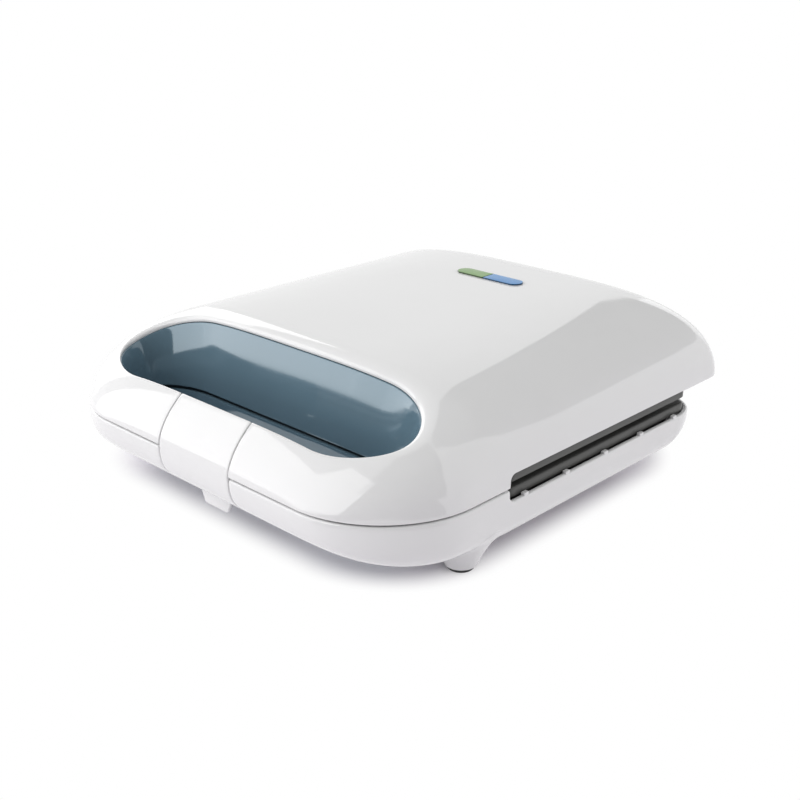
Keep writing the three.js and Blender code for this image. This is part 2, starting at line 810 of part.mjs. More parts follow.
// A ceramic sleeve just off each end of the element.
function ceramic(form, way) {
  const inner = way > 0 ? loopGapHalf - clearance - ceramicLength : -loopGapHalf + clearance;
  const z = up(form.side * (plateBack + clearance + ceramicRadius));
  return rod(ceramicRadius, ceramicLength, X, new THREE.Vector3(inner, inPlate(loopRear), z), tubeSides);
}

function reflector(form) {
  const near = form.side * (plateBack + clearance);
  const far = near + form.side * trayHeight;
  const span = (a, b) => [Math.min(up(a), up(b)), Math.max(up(a), up(b))];
  const [y0, y1] = [inPlate(trayFront), inPlate(trayRear)];
  const tray = block(-trayHalfWidth, trayHalfWidth, y0, y1, ...span(near, far));
  const inside = block(
    -trayHalfWidth + trayWall,
    trayHalfWidth - trayWall,
    y0 + trayWall,
    y1 - trayWall,
    ...span(near - form.side * overrun, far - form.side * trayWall),
  );
  const window = block(-trayWindowHalf, trayWindowHalf, y1 - trayWindowLength, y1 + overrun, low, high);
  const holes = Object.values(screwPlaces).map((place) =>
    rod(postRadius + clearance, high - low, Z, new THREE.Vector3(0, inPlate(place), low)),
  );
  return carved(tray, inside, window, ...holes);
}

// A control on the back of the upper plate.
function onPlate({ x, ahead, length, breadth, height }) {
  const y = plateRearY - ahead;
  const z0 = up(plateBack + clearance);
  return block(x - length / 2, x + length / 2, y - breadth / 2, y + breadth / 2, z0, z0 + height);
}

// Base

// The bearing post that stands behind the base's back wall and carries the pin.
function hingePosts() {
  const solids = [];
  for (const way of [-1, 1]) {
    const [x0, x1] = [way * hingeCentre - postHalf, way * hingeCentre + postHalf];
    const barrel = rod(knuckleRadius, x1 - x0, X, new THREE.Vector3(x0, hingeY, hingeZ));
    const arm = new THREE.Shape([
      new THREE.Vector2(baseForm.rear - postInside, hingeZ - postFoot),
      new THREE.Vector2(hingeY, hingeZ - knuckleRadius),
      new THREE.Vector2(hingeY, hingeZ + knuckleRadius),
      new THREE.Vector2(baseForm.rear - postInside, up(-slotBelowSeam)),
    ]);
    solids.push(joined(barrel, prismAcross(arm, x0, x1)));
  }
  return joined(...solids);
}

const bossTop = floorHeight + bossRise;

// A flared boss under the base that carries a rubber foot.
function footBoss(place) {
  const profileLine = [
    new THREE.Vector2(0, footShow),
    new THREE.Vector2(footRadius + bossEdge, footShow),
    new THREE.Vector2(footRadius + 2 * bossEdge, footShow + bossEdge),
    new THREE.Vector2(bossRoot, bossTop),
    new THREE.Vector2(bossRoot - wall, bossTop + wall),
    new THREE.Vector2(0, bossTop + wall),
  ];
  const boss = new THREE.LatheGeometry(profileLine, roundSides).rotateX(Math.PI / 2);
  return solid(boss.translate(place.x, back(place.back), 0));
}

function footRecess(place) {
  const under = new THREE.Vector3(place.x, back(place.back), 0);
  return joined(
    rod(footRadius + clearance, footHeight + clearance, Z, under),
    rod(footPegRadius + clearance, footHeight + footPegHeight + clearance, Z, under),
  );
}

function foot(place) {
  const under = new THREE.Vector3(place.x, back(place.back), 0);
  return joined(
    rod(footRadius, footHeight, Z, under),
    rod(footPegRadius, footHeight + footPegHeight, Z, under),
  );
}

const footPlaces = {
  front_left_foot: { x: -frontFoot.x, back: frontFoot.back },
  front_right_foot: frontFoot,
  rear_left_foot: { x: -rearFoot.x, back: rearFoot.back },
  rear_right_foot: rearFoot,
};

// Small raised rests along the slot edge, under the lower plate's rim.
function plateRests() {
  const solids = [];
  const z = up(-slotBelowSeam);
  const [near, far] = [width / 2 - wall, width / 2 - clearance];
  for (const [x0, x1] of [[near, far], [-far, -near]]) {
    for (let i = 0; i < restCount; i++) {
      const y = slotY + restFirst + i * restPitch;
      solids.push(block(x0, x1, y - restLength / 2, y + restLength / 2, z - overrun, z + restHeight));
    }
  }
  return joined(...solids);
}

function glandHole() {
  const start = new THREE.Vector3(glandX, baseForm.rear - glandInside - overrun, glandHeight);
  return rod(glandRadius + clearance, glandInside + 2 * overrun, Y, start);
}

const clampUnder = glandHeight + glandBore;
const clampY = baseForm.rear - clampAhead;
const terminalY = baseForm.rear - terminal.ahead;
const shelfTop = floorHeight + terminal.above;
const clampScrewPlaces = { left: glandX - clampScrewSpacing / 2, right: glandX + clampScrewSpacing / 2 };

// Two posts for the lead's clamp and a shelf for the terminal block, down to the inside of the skin.
function inletPosts() {
  const posts = Object.values(clampScrewPlaces).map((x) =>
    rod(clampPostRadius, clampUnder - clearance, Z, new THREE.Vector3(x, clampY, 0), tubeSides),
  );
  const { x, length, breadth } = terminal;
  const [y0, y1] = [terminalY - breadth / 2, terminalY + breadth / 2];
  const shelf = block(x - length / 2, x + length / 2, y0, y1, 0, shelfTop - clearance);
  return joined(shelf, ...posts).intersect(formSolid(baseForm, wall / 2, 0));
}

function lowerCasing() {
  const bulkhead = block(-wideX, wideX, slotY - wall, slotY, low, up(overrun));
  const shell = carved(baseSolid, carved(baseHollow, bulkhead));
  const walls = latchWalls(baseForm, baseSolid, loweredBar + overrun);
  const posts = joined(...Object.values(screwPlaces).map((place) => screwPost(baseForm, place)));
  const bosses = joined(...Object.values(footPlaces).map(footBoss));
  const solidParts = joined(shell, walls, posts);
  const half = latchHalfWidth + latchGap;
  const catchZ = up(-noseDrop);
  const cuts = [
    lowerHole,
    slotCut(up(-slotBelowSeam), high, false),
    block(-half, half, frontY - overrun, back(notchBack), low, high),
    block(
      -noseHalfWidth - latchGap,
      noseHalfWidth + latchGap,
      frontY,
      back(notchBack) + catchDepth,
      catchZ - noseHeight,
      catchZ + noseHeight,
    ),
    ...Object.values(screwPlaces).map((place) => screwBore(baseForm, place)),
    glandHole(),
  ];
  const trimmed = carved(solidParts, ...cuts).intersect(belowSeam);
  const whole = joined(trimmed, plateRests(), hingePosts(), bosses, inletPosts());
  const recesses = Object.values(footPlaces).map(footRecess);
  return carved(whole, ...recesses, ...clampBores(), hingeBores());
}

function clampBores() {
  const bottom = clampUnder - clampScrewLength;
  return Object.values(clampScrewPlaces).map((x) =>
    rod(clampScrewRadius + clearance, high - bottom, Z, new THREE.Vector3(x, clampY, bottom), tubeSides),
  );
}

function cordClamp() {
  const [x0, x1] = [glandX - clampLength / 2, glandX + clampLength / 2];
  const [y0, y1] = [clampY - clampBreadth / 2, clampY + clampBreadth / 2];
  return carved(block(x0, x1, y0, y1, clampUnder, clampUnder + clampThickness), ...clampBores());
}

function clampScrew(x) {
  const top = clampUnder + clampThickness;
  const bottom = clampUnder - clampScrewLength + clearance;
  return joined(
    rod(clampScrewRadius, top - bottom, Z, new THREE.Vector3(x, clampY, bottom), tubeSides),
    rod(clampScrewHead, clampScrewHeadHeight, Z, new THREE.Vector3(x, clampY, top), tubeSides),
  );
}

// A rubber bush in the back wall. Its bore is open for a mains lead.
function cordGland() {
  const wallY = glandWallY();
  const body = rod(glandRadius, glandInside, Y, new THREE.Vector3(glandX, wallY - glandInside, glandHeight));
  const flange = rod(glandFlange, glandFlangeThickness, Y, new THREE.Vector3(glandX, wallY, glandHeight));
  const bore = rod(glandBore, 2 * depth, Y, new THREE.Vector3(glandX, frontY, glandHeight));
  return carved(joined(body, flange), bore);
}

// Where the back wall of the base stands furthest out within the gland's flange.
function glandWallY() {
  const share = Math.pow((seamHeight - glandHeight - glandFlange) / baseDrop, baseForm.tail.power);
  const run = baseForm.tail.along * (1 - Math.pow(1 - share, 1 / baseForm.tail.power));
  return baseForm.rear - run + clearance;
}

function terminalBlock() {
  const { x, length, breadth, height } = terminal;
  const [y0, y1] = [terminalY - breadth / 2, terminalY + breadth / 2];
  return block(x - length / 2, x + length / 2, y0, y1, shelfTop, shelfTop + height);
}

function hingePin(way) {
  return hingeRod(hingePinRadius, postHalf + hingeGap + earThickness, way);
}

function latchPin() {
  return rod(latchPinRadius, 2 * latchPinHalf, X, new THREE.Vector3(-latchPinHalf, pivotY, pivotZ));
}

// Materials

function finish(color, roughness, metalness = 0) {
  return new THREE.MeshStandardMaterial({ color, roughness, metalness });
}

const whiteGloss = finish("#f1f1ef", 0.16);
const blueGrey = finish("#7390a2", 0.2);
const nonStick = finish("#4b4c4b", 0.45, 0.3);
const steel = finish("#b9bbbd", 0.3, 1);
const darkSteel = finish("#7b7d80", 0.4, 1);
const rubber = finish("#1d1e20", 0.8);
const greenLens = finish("#8fb35f", 0.12);
const blueLens = finish("#3f86c8", 0.12);
const ceramicWhite = finish("#e6e2d6", 0.6);
const boardBrown = finish("#8a6a3c", 0.6);
const lampGlass = finish("#f0c39a", 0.1);
const blackPlastic = finish("#2a2b2d", 0.5);

// Assembly

const root = new THREE.Group();
const base = new THREE.Group();
const lid = new THREE.Group();
const latchGroup = new THREE.Group();
root.add(base, lid);
lid.add(latchGroup);

function add(group, name, made, material) {
  const mesh = new THREE.Mesh(geometryOf(made), material);
  mesh.name = name;
  group.add(mesh);
}

add(lid, "upper_casing", upperCasing(), whiteGloss);
add(lid, "upper_handle_liner", upperLiner(), blueGrey);
add(lid, "latch_pin", latchPin(), steel);
add(latchGroup, "latch", latch(), whiteGloss);
add(lid, "power_lens", lens(-1), greenLens);
add(lid, "ready_lens", lens(1), blueLens);
add(lid, "lamp_board", lampBoard(), boardBrown);
add(lid, "power_lamp", lamp(-1), lampGlass);
add(lid, "ready_lamp", lamp(1), lampGlass);
add(lid, "thermostat", onPlate(thermostat), darkSteel);
add(lid, "thermal_fuse", onPlate(fuse), ceramicWhite);

const halves = [
  { group: lid, word: "upper", form: lidForm, face: upperRimLow, under: upperRimHigh },
  { group: base, word: "lower", form: baseForm, face: lowerRimHigh, under: lowerRimLow },
];
for (const { group, word, form, face, under } of halves) {
  add(group, word + "_plate", plate(form, face, under), nonStick);
  add(group, word + "_element", element(form), darkSteel);
  add(group, word + "_reflector", reflector(form), steel);
  add(group, word + "_left_terminal", ceramic(form, -1), ceramicWhite);
  add(group, word + "_right_terminal", ceramic(form, 1), ceramicWhite);
  for (const [place, distance] of Object.entries(screwPlaces)) {
    add(group, word + "_plate_screw_" + place, plateScrew(form, face, distance), steel);
  }
}

add(base, "lower_casing", lowerCasing(), whiteGloss);
add(base, "lower_handle_liner", liner(baseForm, low, up(-seamGap / 2)), blueGrey);
add(base, "left_hinge_pin", hingePin(-1), steel);
add(base, "right_hinge_pin", hingePin(1), steel);
add(base, "cord_gland", cordGland(), rubber);
add(base, "cord_clamp", cordClamp(), blackPlastic);
for (const [word, x] of Object.entries(clampScrewPlaces)) {
  add(base, word + "_clamp_screw", clampScrew(x), steel);
}
add(base, "terminal_block", terminalBlock(), blackPlastic);
for (const [name, place] of Object.entries(footPlaces)) {
  add(base, name, foot(place), rubber);
}

export default root;
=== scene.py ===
import math

import bpy
import numpy as np
from bpy.props import FloatProperty, FloatVectorProperty, PointerProperty
from mathutils import Matrix, Vector
from mathutils.geometry import tessellate_polygon


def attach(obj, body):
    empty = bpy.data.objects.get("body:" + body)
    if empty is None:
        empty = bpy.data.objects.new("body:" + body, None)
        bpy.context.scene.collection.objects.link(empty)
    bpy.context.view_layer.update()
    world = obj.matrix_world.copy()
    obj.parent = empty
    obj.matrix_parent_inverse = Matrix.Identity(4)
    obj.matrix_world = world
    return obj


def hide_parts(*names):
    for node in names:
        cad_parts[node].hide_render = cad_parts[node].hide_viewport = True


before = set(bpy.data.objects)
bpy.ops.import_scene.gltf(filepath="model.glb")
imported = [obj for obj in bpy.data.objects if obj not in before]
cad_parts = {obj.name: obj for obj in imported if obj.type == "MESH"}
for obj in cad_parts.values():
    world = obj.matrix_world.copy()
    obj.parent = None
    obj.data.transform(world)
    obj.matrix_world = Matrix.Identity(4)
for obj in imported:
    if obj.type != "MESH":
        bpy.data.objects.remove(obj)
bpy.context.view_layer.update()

# The lid, base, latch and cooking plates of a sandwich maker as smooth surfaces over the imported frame.
# Shapes are worked out in millimetres in the record's frame: X right, Y back, Z up, origin bottom centre.

bl_info = {
    "name": "Sandwich Maker",
    "version": (1, 0, 0),
    "blender": (4, 5, 0),
    "location": "View3D > Sidebar > Sandwich Maker",
    "description": "Builds the casings, latch, plates and small parts of a sandwich maker",
    "category": "Object",
}

# Main sizes in millimetres: height of the seam between lid and base, the casings' front edge and half width,
# y of the side slots' front ends and the radius of their corners, the hinge line as (y, z), how far each
# hinge is from the middle, and the radius of its ears and posts.
SEAM = 40.5
FRONT = -125.98
HALF_WIDTH = 114.98
SLOT = -53.0
SLOT_ARC = 3.0
HINGE = (105.0, 40.5)
HINGE_X = 66
HINGE_RADIUS = 5

# The finger opening in each casing: y of its front and rear, half its width, and how long its round ends are.
LID_OPENING = (-111.8, -65.6, 92.2, 33.5)
BASE_OPENING = (-108.8, -67.8, 89.4, 32.0)

# The opening's rim in the lid: its rounding at the front, and the straight wall below the rounding.
RIM_FRONT = 0.45
RIM_WALL = 0.5

# Half widths of the recess for the latch and of the latch, and (y, z) of the latch's pin.
NOTCH = 24.4
LATCH_HALF = 23.9
LATCH_PIVOT = (-114.2, 56.1)

# Thickness of the walls inside the casings and of the latch's band, and how far they stop from the seam.
INNER_WALL = 2.4
SEAM_GAP = 0.4

# (x, y) of each foot, and y of the screws on the middle line that hold the plates.
FEET = {
    "front_left_foot": (-95, -59.9), "front_right_foot": (95, -59.9),
    "rear_left_foot": (-76, 64), "rear_right_foot": (76, 64),
}
SCREWS = (-4.1, 54.1)

# Points along the right half of an opening's rim: on its straight front, its round end and its straight rear.
FRONT_POINTS, END_POINTS, REAR_POINTS = 14, 75, 23

# y where the lines that fan out from the opening give way to rows across the casing.
JOIN_Y = -40.0

# Radius of the hole that a turned profile leaves at its axis, which one point then closes.
NEAR_AXIS = 0.01

METRES = 0.001


def mm(length):
    """A setting in metres as millimetres."""
    return length * 1000


# Shape formulas


def risen(distance, reach, power):
    """Share of full height at a distance from an end: (1 - (1 - distance / reach) ^ power) ^ (1 / power)."""
    left = 1.0 - np.clip(np.asarray(distance, float) / reach, 0.0, 1.0)
    return (1.0 - left**power) ** (1.0 / power)


def smooth(t):
    """3 t^2 - 2 t^3, for t held between 0 and 1."""
    t = np.clip(t, 0.0, 1.0)
    return t * t * (3.0 - 2.0 * t)


def running(steps):
    """Running total of steps, from 0."""
    return np.concatenate([[0.0], np.cumsum(steps)])


class Form:
    """One casing. Half width and height vary along Y, and a section is |x/half|^across + (z/high)^up = 1.

    A place on the skin is a, the length round the section from the middle, and s, the length along the middle
    line from the front. A corner is (reach across, reach along, power), and a nose or tail (reach, power).
    """

    front_corner = (48.7, 48.6, 1.95)
    nominal_half = 110

    def __init__(self, side, rear, rise, rear_corner, nose, tail, across, up):
        self.side, self.rear, self.rise, self.rear_corner = side, rear, rise, rear_corner
        self.nose, self.tail, self.across, self.up = nose, tail, across, up
        knee_x, knee_z = 0.5 ** (1 / across), 0.5 ** (1 / up)
        top = np.linspace(0.0, knee_x, 600)
        low = np.linspace(knee_z, 0.0, 600)[1:]
        self.cx = np.concatenate([top, (1 - low**up) ** (1 / across)])
        self.cz = np.concatenate([(1 - top**across) ** (1 / up), low])
        self.a = running(np.hypot(np.diff(self.cx) * self.nominal_half, np.diff(self.cz) * rise))
        turn = (1 - np.cos(np.linspace(0, math.pi, 6001))) / 2
        self.ys = FRONT + (rear - FRONT) * turn
        self.s = running(np.hypot(np.diff(self.ys), np.diff(self.high_at(self.ys))))

    def half_at(self, y):
        """Half width at y: full width less what the front and rear corner curves take off."""
        across, along, power = self.front_corner
        r_across, r_along, r_power = self.rear_corner
        front = 1 - risen(y - FRONT, along, power)
        rear = 1 - risen(self.rear - y, r_along, r_power)
        return HALF_WIDTH - across * front - r_across * rear

    def high_at(self, y):
        """Height from the seam on the middle line at y: the rise times the nose's and the tail's curves."""
        return self.rise * risen(y - FRONT, *self.nose) * risen(self.rear - y, *self.tail)

    def a_of_x(self, share):
        """Length round the section at a share of the half width."""
        return np.interp(np.clip(share, 0, 1), self.cx, self.a)

    def a_of_z(self, share):
        """Length round the section at a share of the height."""
        return np.interp(np.clip(share, 0, 1), self.cz[::-1], self.a[::-1])

    def s_of_y(self, y):
        """Length along the middle line at y."""
        return np.interp(y, self.ys, self.s)

    def point(self, a, s):
        """The skin at length a round the section and length s along the middle line."""
        y = np.interp(s, self.s, self.ys)
        cx, cz = np.interp(a, self.a, self.cx), np.interp(a, self.a, self.cz)
        return self.half_at(y) * cx, y, self.high_at(y) * cz


LID = Form(
    side=1, rear=125.6, rise=41.0, rear_corner=(42.9, 21.6, 1.9),
    nose=(72.7, 1.75), tail=(28.7, 2.86), across=3.58, up=2.88,
)
BASE = Form(
    side=-1, rear=98.8, rise=30.5, rear_corner=(24.0, 24.0, 2.3),
    nose=(98.0, 2.85), tail=(25.5, 2.05), across=11.0, up=3.5,
)


# Mesh helpers


def grid_faces(rows, columns, loop=False):
    """Quads of a grid of points, row by row. A looped grid joins its last column to its first."""
    i = np.arange(rows - 1)[:, None] * columns
    last = columns if loop else columns - 1
    j = np.arange(last)[None, :]
    k = (j + 1) % columns
    return np.stack([i + j, i + k, i + columns + k, i + columns + j], axis=-1).reshape(-1, 4)


def weld(points, faces, step=1e-3):
    """Points closer than a step become one."""
    keys = np.round(points / step).astype(np.int64)
    _, first, inverse = np.unique(keys, axis=0, return_index=True, return_inverse=True)
    return points[first], inverse.reshape(-1)[faces]


def mirrored(points, faces):
    """A right half and its left copy as one surface, welded on the middle line."""
    other = points * np.array([-1.0, 1.0, 1.0])
    return weld(np.concatenate([points, other]), np.concatenate([faces, faces[:, ::-1] + len(points)]))


def merged(*parts):
    """Several (points, faces) as one."""
    points, faces, start = [], [], 0
    for p, f in parts:
        points.append(p)
        faces.append(f + start)
        start += len(p)
    return np.concatenate(points), np.concatenate(faces)


def face_normals(points, faces):
    """The cross product of each quad's diagonals, as long as twice its area."""
    return np.cross(points[faces[:, 2]] - points[faces[:, 0]], points[faces[:, 3]] - points[faces[:, 1]])


def outward(points, faces):
    """Faces turned so that the closed surface encloses a positive volume."""
    a, b, c, d = (points[faces[:, k]] for k in range(4))
    volume = np.einsum("ij,ij->", a, np.cross(b, c)) + np.einsum("ij,ij->", a, np.cross(c, d))
    return points, faces if volume > 0 else faces[:, ::-1]


def shell(points, faces, thickness, lip, steps=3):
    """A wall under a surface: inner skin = point - thickness * normal, and a rounded edge of radius lip."""
    thickness = np.broadcast_to(np.asarray(thickness, float).reshape(-1, 1), (len(points), 1))
    normals = np.zeros_like(points)
    flat = face_normals(points, faces)
    for k in range(4):
        np.add.at(normals, faces[:, k], flat)
    normals /= np.maximum(np.linalg.norm(normals, axis=1, keepdims=True), 1e-9)
    edges = np.concatenate([faces[:, [k, (k + 1) % 4]] for k in range(4)])
    edges = edges[edges[:, 0] != edges[:, 1]]
    count = len(points)
    key = edges[:, 0] * count + edges[:, 1]
    twin = edges[:, 1] * count + edges[:, 0]
    rim = edges[~np.isin(key, twin)]
    side = np.zeros_like(points)
    along = points[rim[:, 1]] - points[rim[:, 0]]
    for k in range(2):
        np.add.at(side, rim[:, k], np.cross(along, normals[rim[:, k]]))
    used = np.unique(rim)
    slot = np.full(count, -1)
    slot[used] = np.arange(len(used))
    t = side[used] / np.maximum(np.linalg.norm(side[used], axis=1, keepdims=True), 1e-9)
    p, n, deep = points[used], normals[used], thickness[used]
    turn = np.linspace(0, math.pi / 2, steps + 1)
    rows = [p + t * lip * math.sin(w) - n * lip * (1 - math.cos(w)) for w in turn[1:]]
    rows += [p + t * lip * math.cos(w) - n * (deep - lip + lip * math.sin(w)) for w in turn[:-1]]
    starts = [2 * count + k * len(used) for k in range(len(rows))]
    levels = [used] + [start + np.arange(len(used)) for start in starts] + [used + count]
    strips = []
    a, b = slot[rim[:, 0]], slot[rim[:, 1]]
    for k in range(len(levels) - 1):
        here, there = levels[k], levels[k + 1]
        strips.append(np.stack([here[b], here[a], there[a], there[b]], axis=1))
    inner = points - normals * thickness
    return np.concatenate([points, inner, *rows]), np.concatenate([faces, faces[:, ::-1] + count, *strips])


def capped(rings):
    """Rings of equal count joined into a closed surface, with a middle point at each end."""
    count = rings.shape[1]
    points = np.concatenate([rings.reshape(-1, 3), rings[0].mean(0)[None], rings[-1].mean(0)[None]])
    faces = grid_faces(len(rings), count, loop=True)
    j = np.arange(count)
    k = (j + 1) % count
    last = (len(rings) - 1) * count
    low, high = np.full(count, len(points) - 2), np.full(count, len(points) - 1)
    ends = [np.stack([k, j, low, low], 1), np.stack([last + j, last + k, high, high], 1)]
    return outward(points, np.concatenate([faces, *ends]))


def looped(rings):
    """Rings of equal count joined into a closed surface, with the last one joined back to the first."""
    count = rings.shape[1]
    faces = grid_faces(len(rings), count, loop=True)
    j = np.arange(count)
    k = (j + 1) % count
    last = (len(rings) - 1) * count
    closing = np.stack([last + j, last + k, k, j], 1)
    return outward(rings.reshape(-1, 3), np.concatenate([faces, closing]))


def place(u, v, w, axis):
    """Points from coordinates u, v in a plane and w along its axis: x takes (y, z), y (x, z), z (x, y)."""
    order = {"x": (w, u, v), "y": (u, w, v), "z": (u, v, w)}[axis]
    return np.stack(np.broadcast_arrays(*order), axis=-1)


def turned_rings(profile, centre, axis, sides):
    """Rings of a profile of (radius, distance) pairs turned round an axis through a centre."""
    radius, along = np.array(profile, float).T
    angle = np.arange(sides) * 2 * math.pi / sides
    u = radius[:, None] * np.cos(angle) + centre[0]
    v = radius[:, None] * np.sin(angle) + centre[1]
    return place(u, v, along[:, None] + np.zeros_like(u), axis)


def turned_profile(profile, centre, axis, sides=48):
    """A solid turned from a profile of (radius, distance) pairs, with a flat from each end to the axis."""
    closed = [(NEAR_AXIS, profile[0][1]), *profile, (NEAR_AXIS, profile[-1][1])]
    return capped(turned_rings(closed, centre, axis, sides))


def rectangle(u0, u1, v0, v1):
    """Corners of a rectangle, in turn."""
    return [(u0, v0), (u1, v0), (u1, v1), (u0, v1)]


def evened(line, count, endpoint=True):
    """A line of points as a count of points at even distances along it."""
    run = running(np.linalg.norm(np.diff(line, axis=0), axis=1))
    spots = np.linspace(0, run[-1], count, endpoint=endpoint)
    return np.stack([np.interp(spots, run, line[:, 0]), np.interp(spots, run, line[:, 1])], 1)


def inset(outline, amount):
    """A closed outline moved inwards by an amount along the line that halves each corner."""
    before, after = np.roll(outline, 1, 0), np.roll(outline, -1, 0)
    d1 = outline - before
    d2 = after - outline
    d1 /= np.linalg.norm(d1, axis=1, keepdims=True)
    d2 /= np.linalg.norm(d2, axis=1, keepdims=True)
    n1, n2 = np.stack([-d1[:, 1], d1[:, 0]], 1), np.stack([-d2[:, 1], d2[:, 0]], 1)
    half = n1 + n2
    half /= np.maximum(np.linalg.norm(half, axis=1, keepdims=True), 1e-9)
    return outline + half * amount / np.maximum(np.sum(half * n1, axis=1, keepdims=True), 0.4)


def prism(outline, low, high, axis, round_edge=0.5, steps=3):
    """A flat outline carried along an axis, with rounded ends: inset r (1 - sin w), depth r (1 - cos w)."""
    outline = np.array(outline, float)
    x, y = outline.T
    if np.sum(x * np.roll(y, -1) - y * np.roll(x, -1)) < 0:
        outline = outline[::-1]
    turn = np.linspace(0, math.pi / 2, steps + 1)
    lines, places = [], []
    for w in turn:
        lines.append(inset(outline, round_edge * (1 - math.sin(w))))
        places.append(low + round_edge * (1 - math.cos(w)))
    for w in turn[::-1]:
        lines.append(inset(outline, round_edge * (1 - math.sin(w))))
        places.append(high - round_edge * (1 - math.cos(w)))
    rings = np.stack([place(p[:, 0], p[:, 1], w, axis) for p, w in zip(lines, places)])
    count = len(outline)
    cap = np.array(tessellate_polygon([[Vector((*p, 0)) for p in lines[0]]]))
    cap = np.concatenate([cap, cap[:, 2:]], axis=1)
    first = lines[0][cap[:, :3]]
    area = np.cross(first[:, 1] - first[:, 0], first[:, 2] - first[:, 0])
    cap = np.where(area[:, None] > 0, cap, cap[:, [1, 0, 2, 2]])
    walls = grid_faces(len(rings), count, loop=True)
    faces = np.concatenate([walls, cap[:, [1, 0, 2, 2]], cap + (len(rings) - 1) * count])
    return outward(rings.reshape(-1, 3), faces)


def linked(thing):
    """A new object put into the scene."""
    bpy.context.scene.collection.objects.link(thing)
    return thing


def put(name, part, body, node, material, sharp=40.0):
    """Makes the object of a piece from points in millimetres, hangs it on its body and hides the frame's part
    that it stands for.

    A quad with a corner twice becomes a triangle, and one with two such corners is left out.
    """
    points, faces = part
    faces = faces[(faces[:, 0] != faces[:, 2]) & (faces[:, 1] != faces[:, 3])]
    repeated = faces == np.roll(faces, -1, axis=1)
    good = repeated.sum(1) < 2
    faces, repeated = faces[good], repeated[good]
    keep = ~repeated
    sizes = keep.sum(1)
    mesh = bpy.data.meshes.new(name)
    mesh.vertices.add(len(points))
    mesh.vertices.foreach_set("co", (points * METRES).astype(np.float32).ravel())
    corners = faces[keep].astype(np.int32)
    mesh.loops.add(len(corners))
    mesh.loops.foreach_set("vertex_index", corners)
    mesh.polygons.add(len(faces))
    starts = np.concatenate([[0], np.cumsum(sizes)[:-1]]).astype(np.int32)
    mesh.polygons.foreach_set("loop_start", starts)
    mesh.polygons.foreach_set("use_smooth", np.ones(len(faces), bool))
    mesh.update(calc_edges=True)
    mesh.validate()
    mesh.set_sharp_from_angle(angle=math.radians(sharp))
    mesh.materials.append(material)
    piece = linked(bpy.data.objects.new(name, mesh))
    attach(piece, body)
    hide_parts(node)
    return piece


# Casing skins


def opening_line(front, rear, half, end, ahead):
    """The right half of an opening: straight front edge, elliptical end, straight rear edge, with normals."""
    straight, middle, reach = half - end, (front + rear) / 2, (rear - front) / 2
    x1 = np.linspace(ahead, straight, FRONT_POINTS + 1)[:-1]
    angle = np.linspace(-math.pi / 2, math.pi / 2, END_POINTS)
    x3 = np.linspace(straight, 0.0, REAR_POINTS + 1)[1:]
    x = np.concatenate([x1, straight + end * np.cos(angle), x3])
    ahead_y, behind_y = np.full(FRONT_POINTS, front), np.full(REAR_POINTS, rear)
    y = np.concatenate([ahead_y, middle + reach * np.sin(angle), behind_y])
    nx = np.concatenate([np.zeros(FRONT_POINTS), np.cos(angle) / end, np.zeros(REAR_POINTS)])
    ny = np.concatenate([np.full(FRONT_POINTS, -1.0), np.sin(angle) / reach, np.full(REAR_POINTS, 1.0)])
    size = np.hypot(nx, ny)
    return x, y, nx / size, ny / size, angle


def rear_share(y, opening):
    """0 at an opening's front, rising smoothly to 1 at 0.6 of the way to its rear."""
    front, rear = opening[:2]
    return smooth((y - front) / (0.6 * (rear - front)))


def seam_line(form, straight, slot_y):
    """Places (a, s) along the front's lower edge and the seam to the slot, spaced by length and by form."""
    a_seam = form.a_of_x(np.linspace(straight / form.half_at(FRONT), 1.0, 200))
    corner_y = np.linspace(0, 1, 400)[1:] ** 2 * (slot_y - FRONT) + FRONT
    edge_a = np.concatenate([a_seam, np.full(len(corner_y), form.a[-1])])
    edge_s = np.concatenate([np.zeros(len(a_seam)), form.s_of_y(corner_y)])
    ex, ey, _ = form.point(edge_a, edge_s)
    by_form = 0.22 * np.hypot(np.diff(edge_a), np.diff(edge_s))
    run = running(np.hypot(np.hypot(np.diff(ex), np.diff(ey)), by_form))
    wanted = np.linspace(0, run[-1], 36)
    return np.interp(wanted, run, edge_a), np.interp(wanted, run, edge_s)


def slot_step(form, slot_y, arc, edge):
    """Places (a, s) up the slot's front end, round an arc and back along the slot's edge."""
    turn = np.linspace(0, math.pi / 2, 6)[1:]
    step_y = np.concatenate([np.full(3, slot_y), slot_y + arc * (1 - np.cos(turn)), [-47.5, -45.0, -42.5]])
    step_z = np.concatenate([[1.1, 2.2, 3.25], edge - arc + arc * np.sin(turn), np.full(3, edge)])
    return form.a_of_z(step_z / form.high_at(step_y)), form.s_of_y(step_y)


def rear_rows(form, row_a, edge):
    """The skin behind the fan: rows across it that end at the slot's edge, and at the seam at the back."""
    share = row_a / row_a[0]
    start, late = form.s_of_y(JOIN_Y), form.s_of_y(form.rear - 41.0)
    rows = np.concatenate([np.linspace(start, late, 36), np.linspace(late, form.s[-1], 58)[1:]])
    row_y = np.interp(rows, form.s, form.ys)
    high = form.high_at(row_y)
    trimmed = form.a_of_z(np.minimum(edge / np.maximum(high, edge), 1.0))
    ease = smooth((row_y - (form.rear - 55.0)) / 27.0)
    side_a = trimmed + (form.a[-1] - trimmed) * ease
    a = side_a[:, None] * share[None, :]
    px, py, pz = form.point(a, rows[:, None] + np.zeros_like(a))
    bottom = high * np.interp(side_a, form.a, form.cz)
    fall = np.clip(1 - (pz - bottom[:, None]) / 22.0, 0, 1)
    pz = pz + (edge - bottom)[:, None] * fall**2
    back = np.stack([px, py, pz], axis=-1)
    return back.reshape(-1, 3), grid_faces(*back.shape[:2])[:, ::-1]


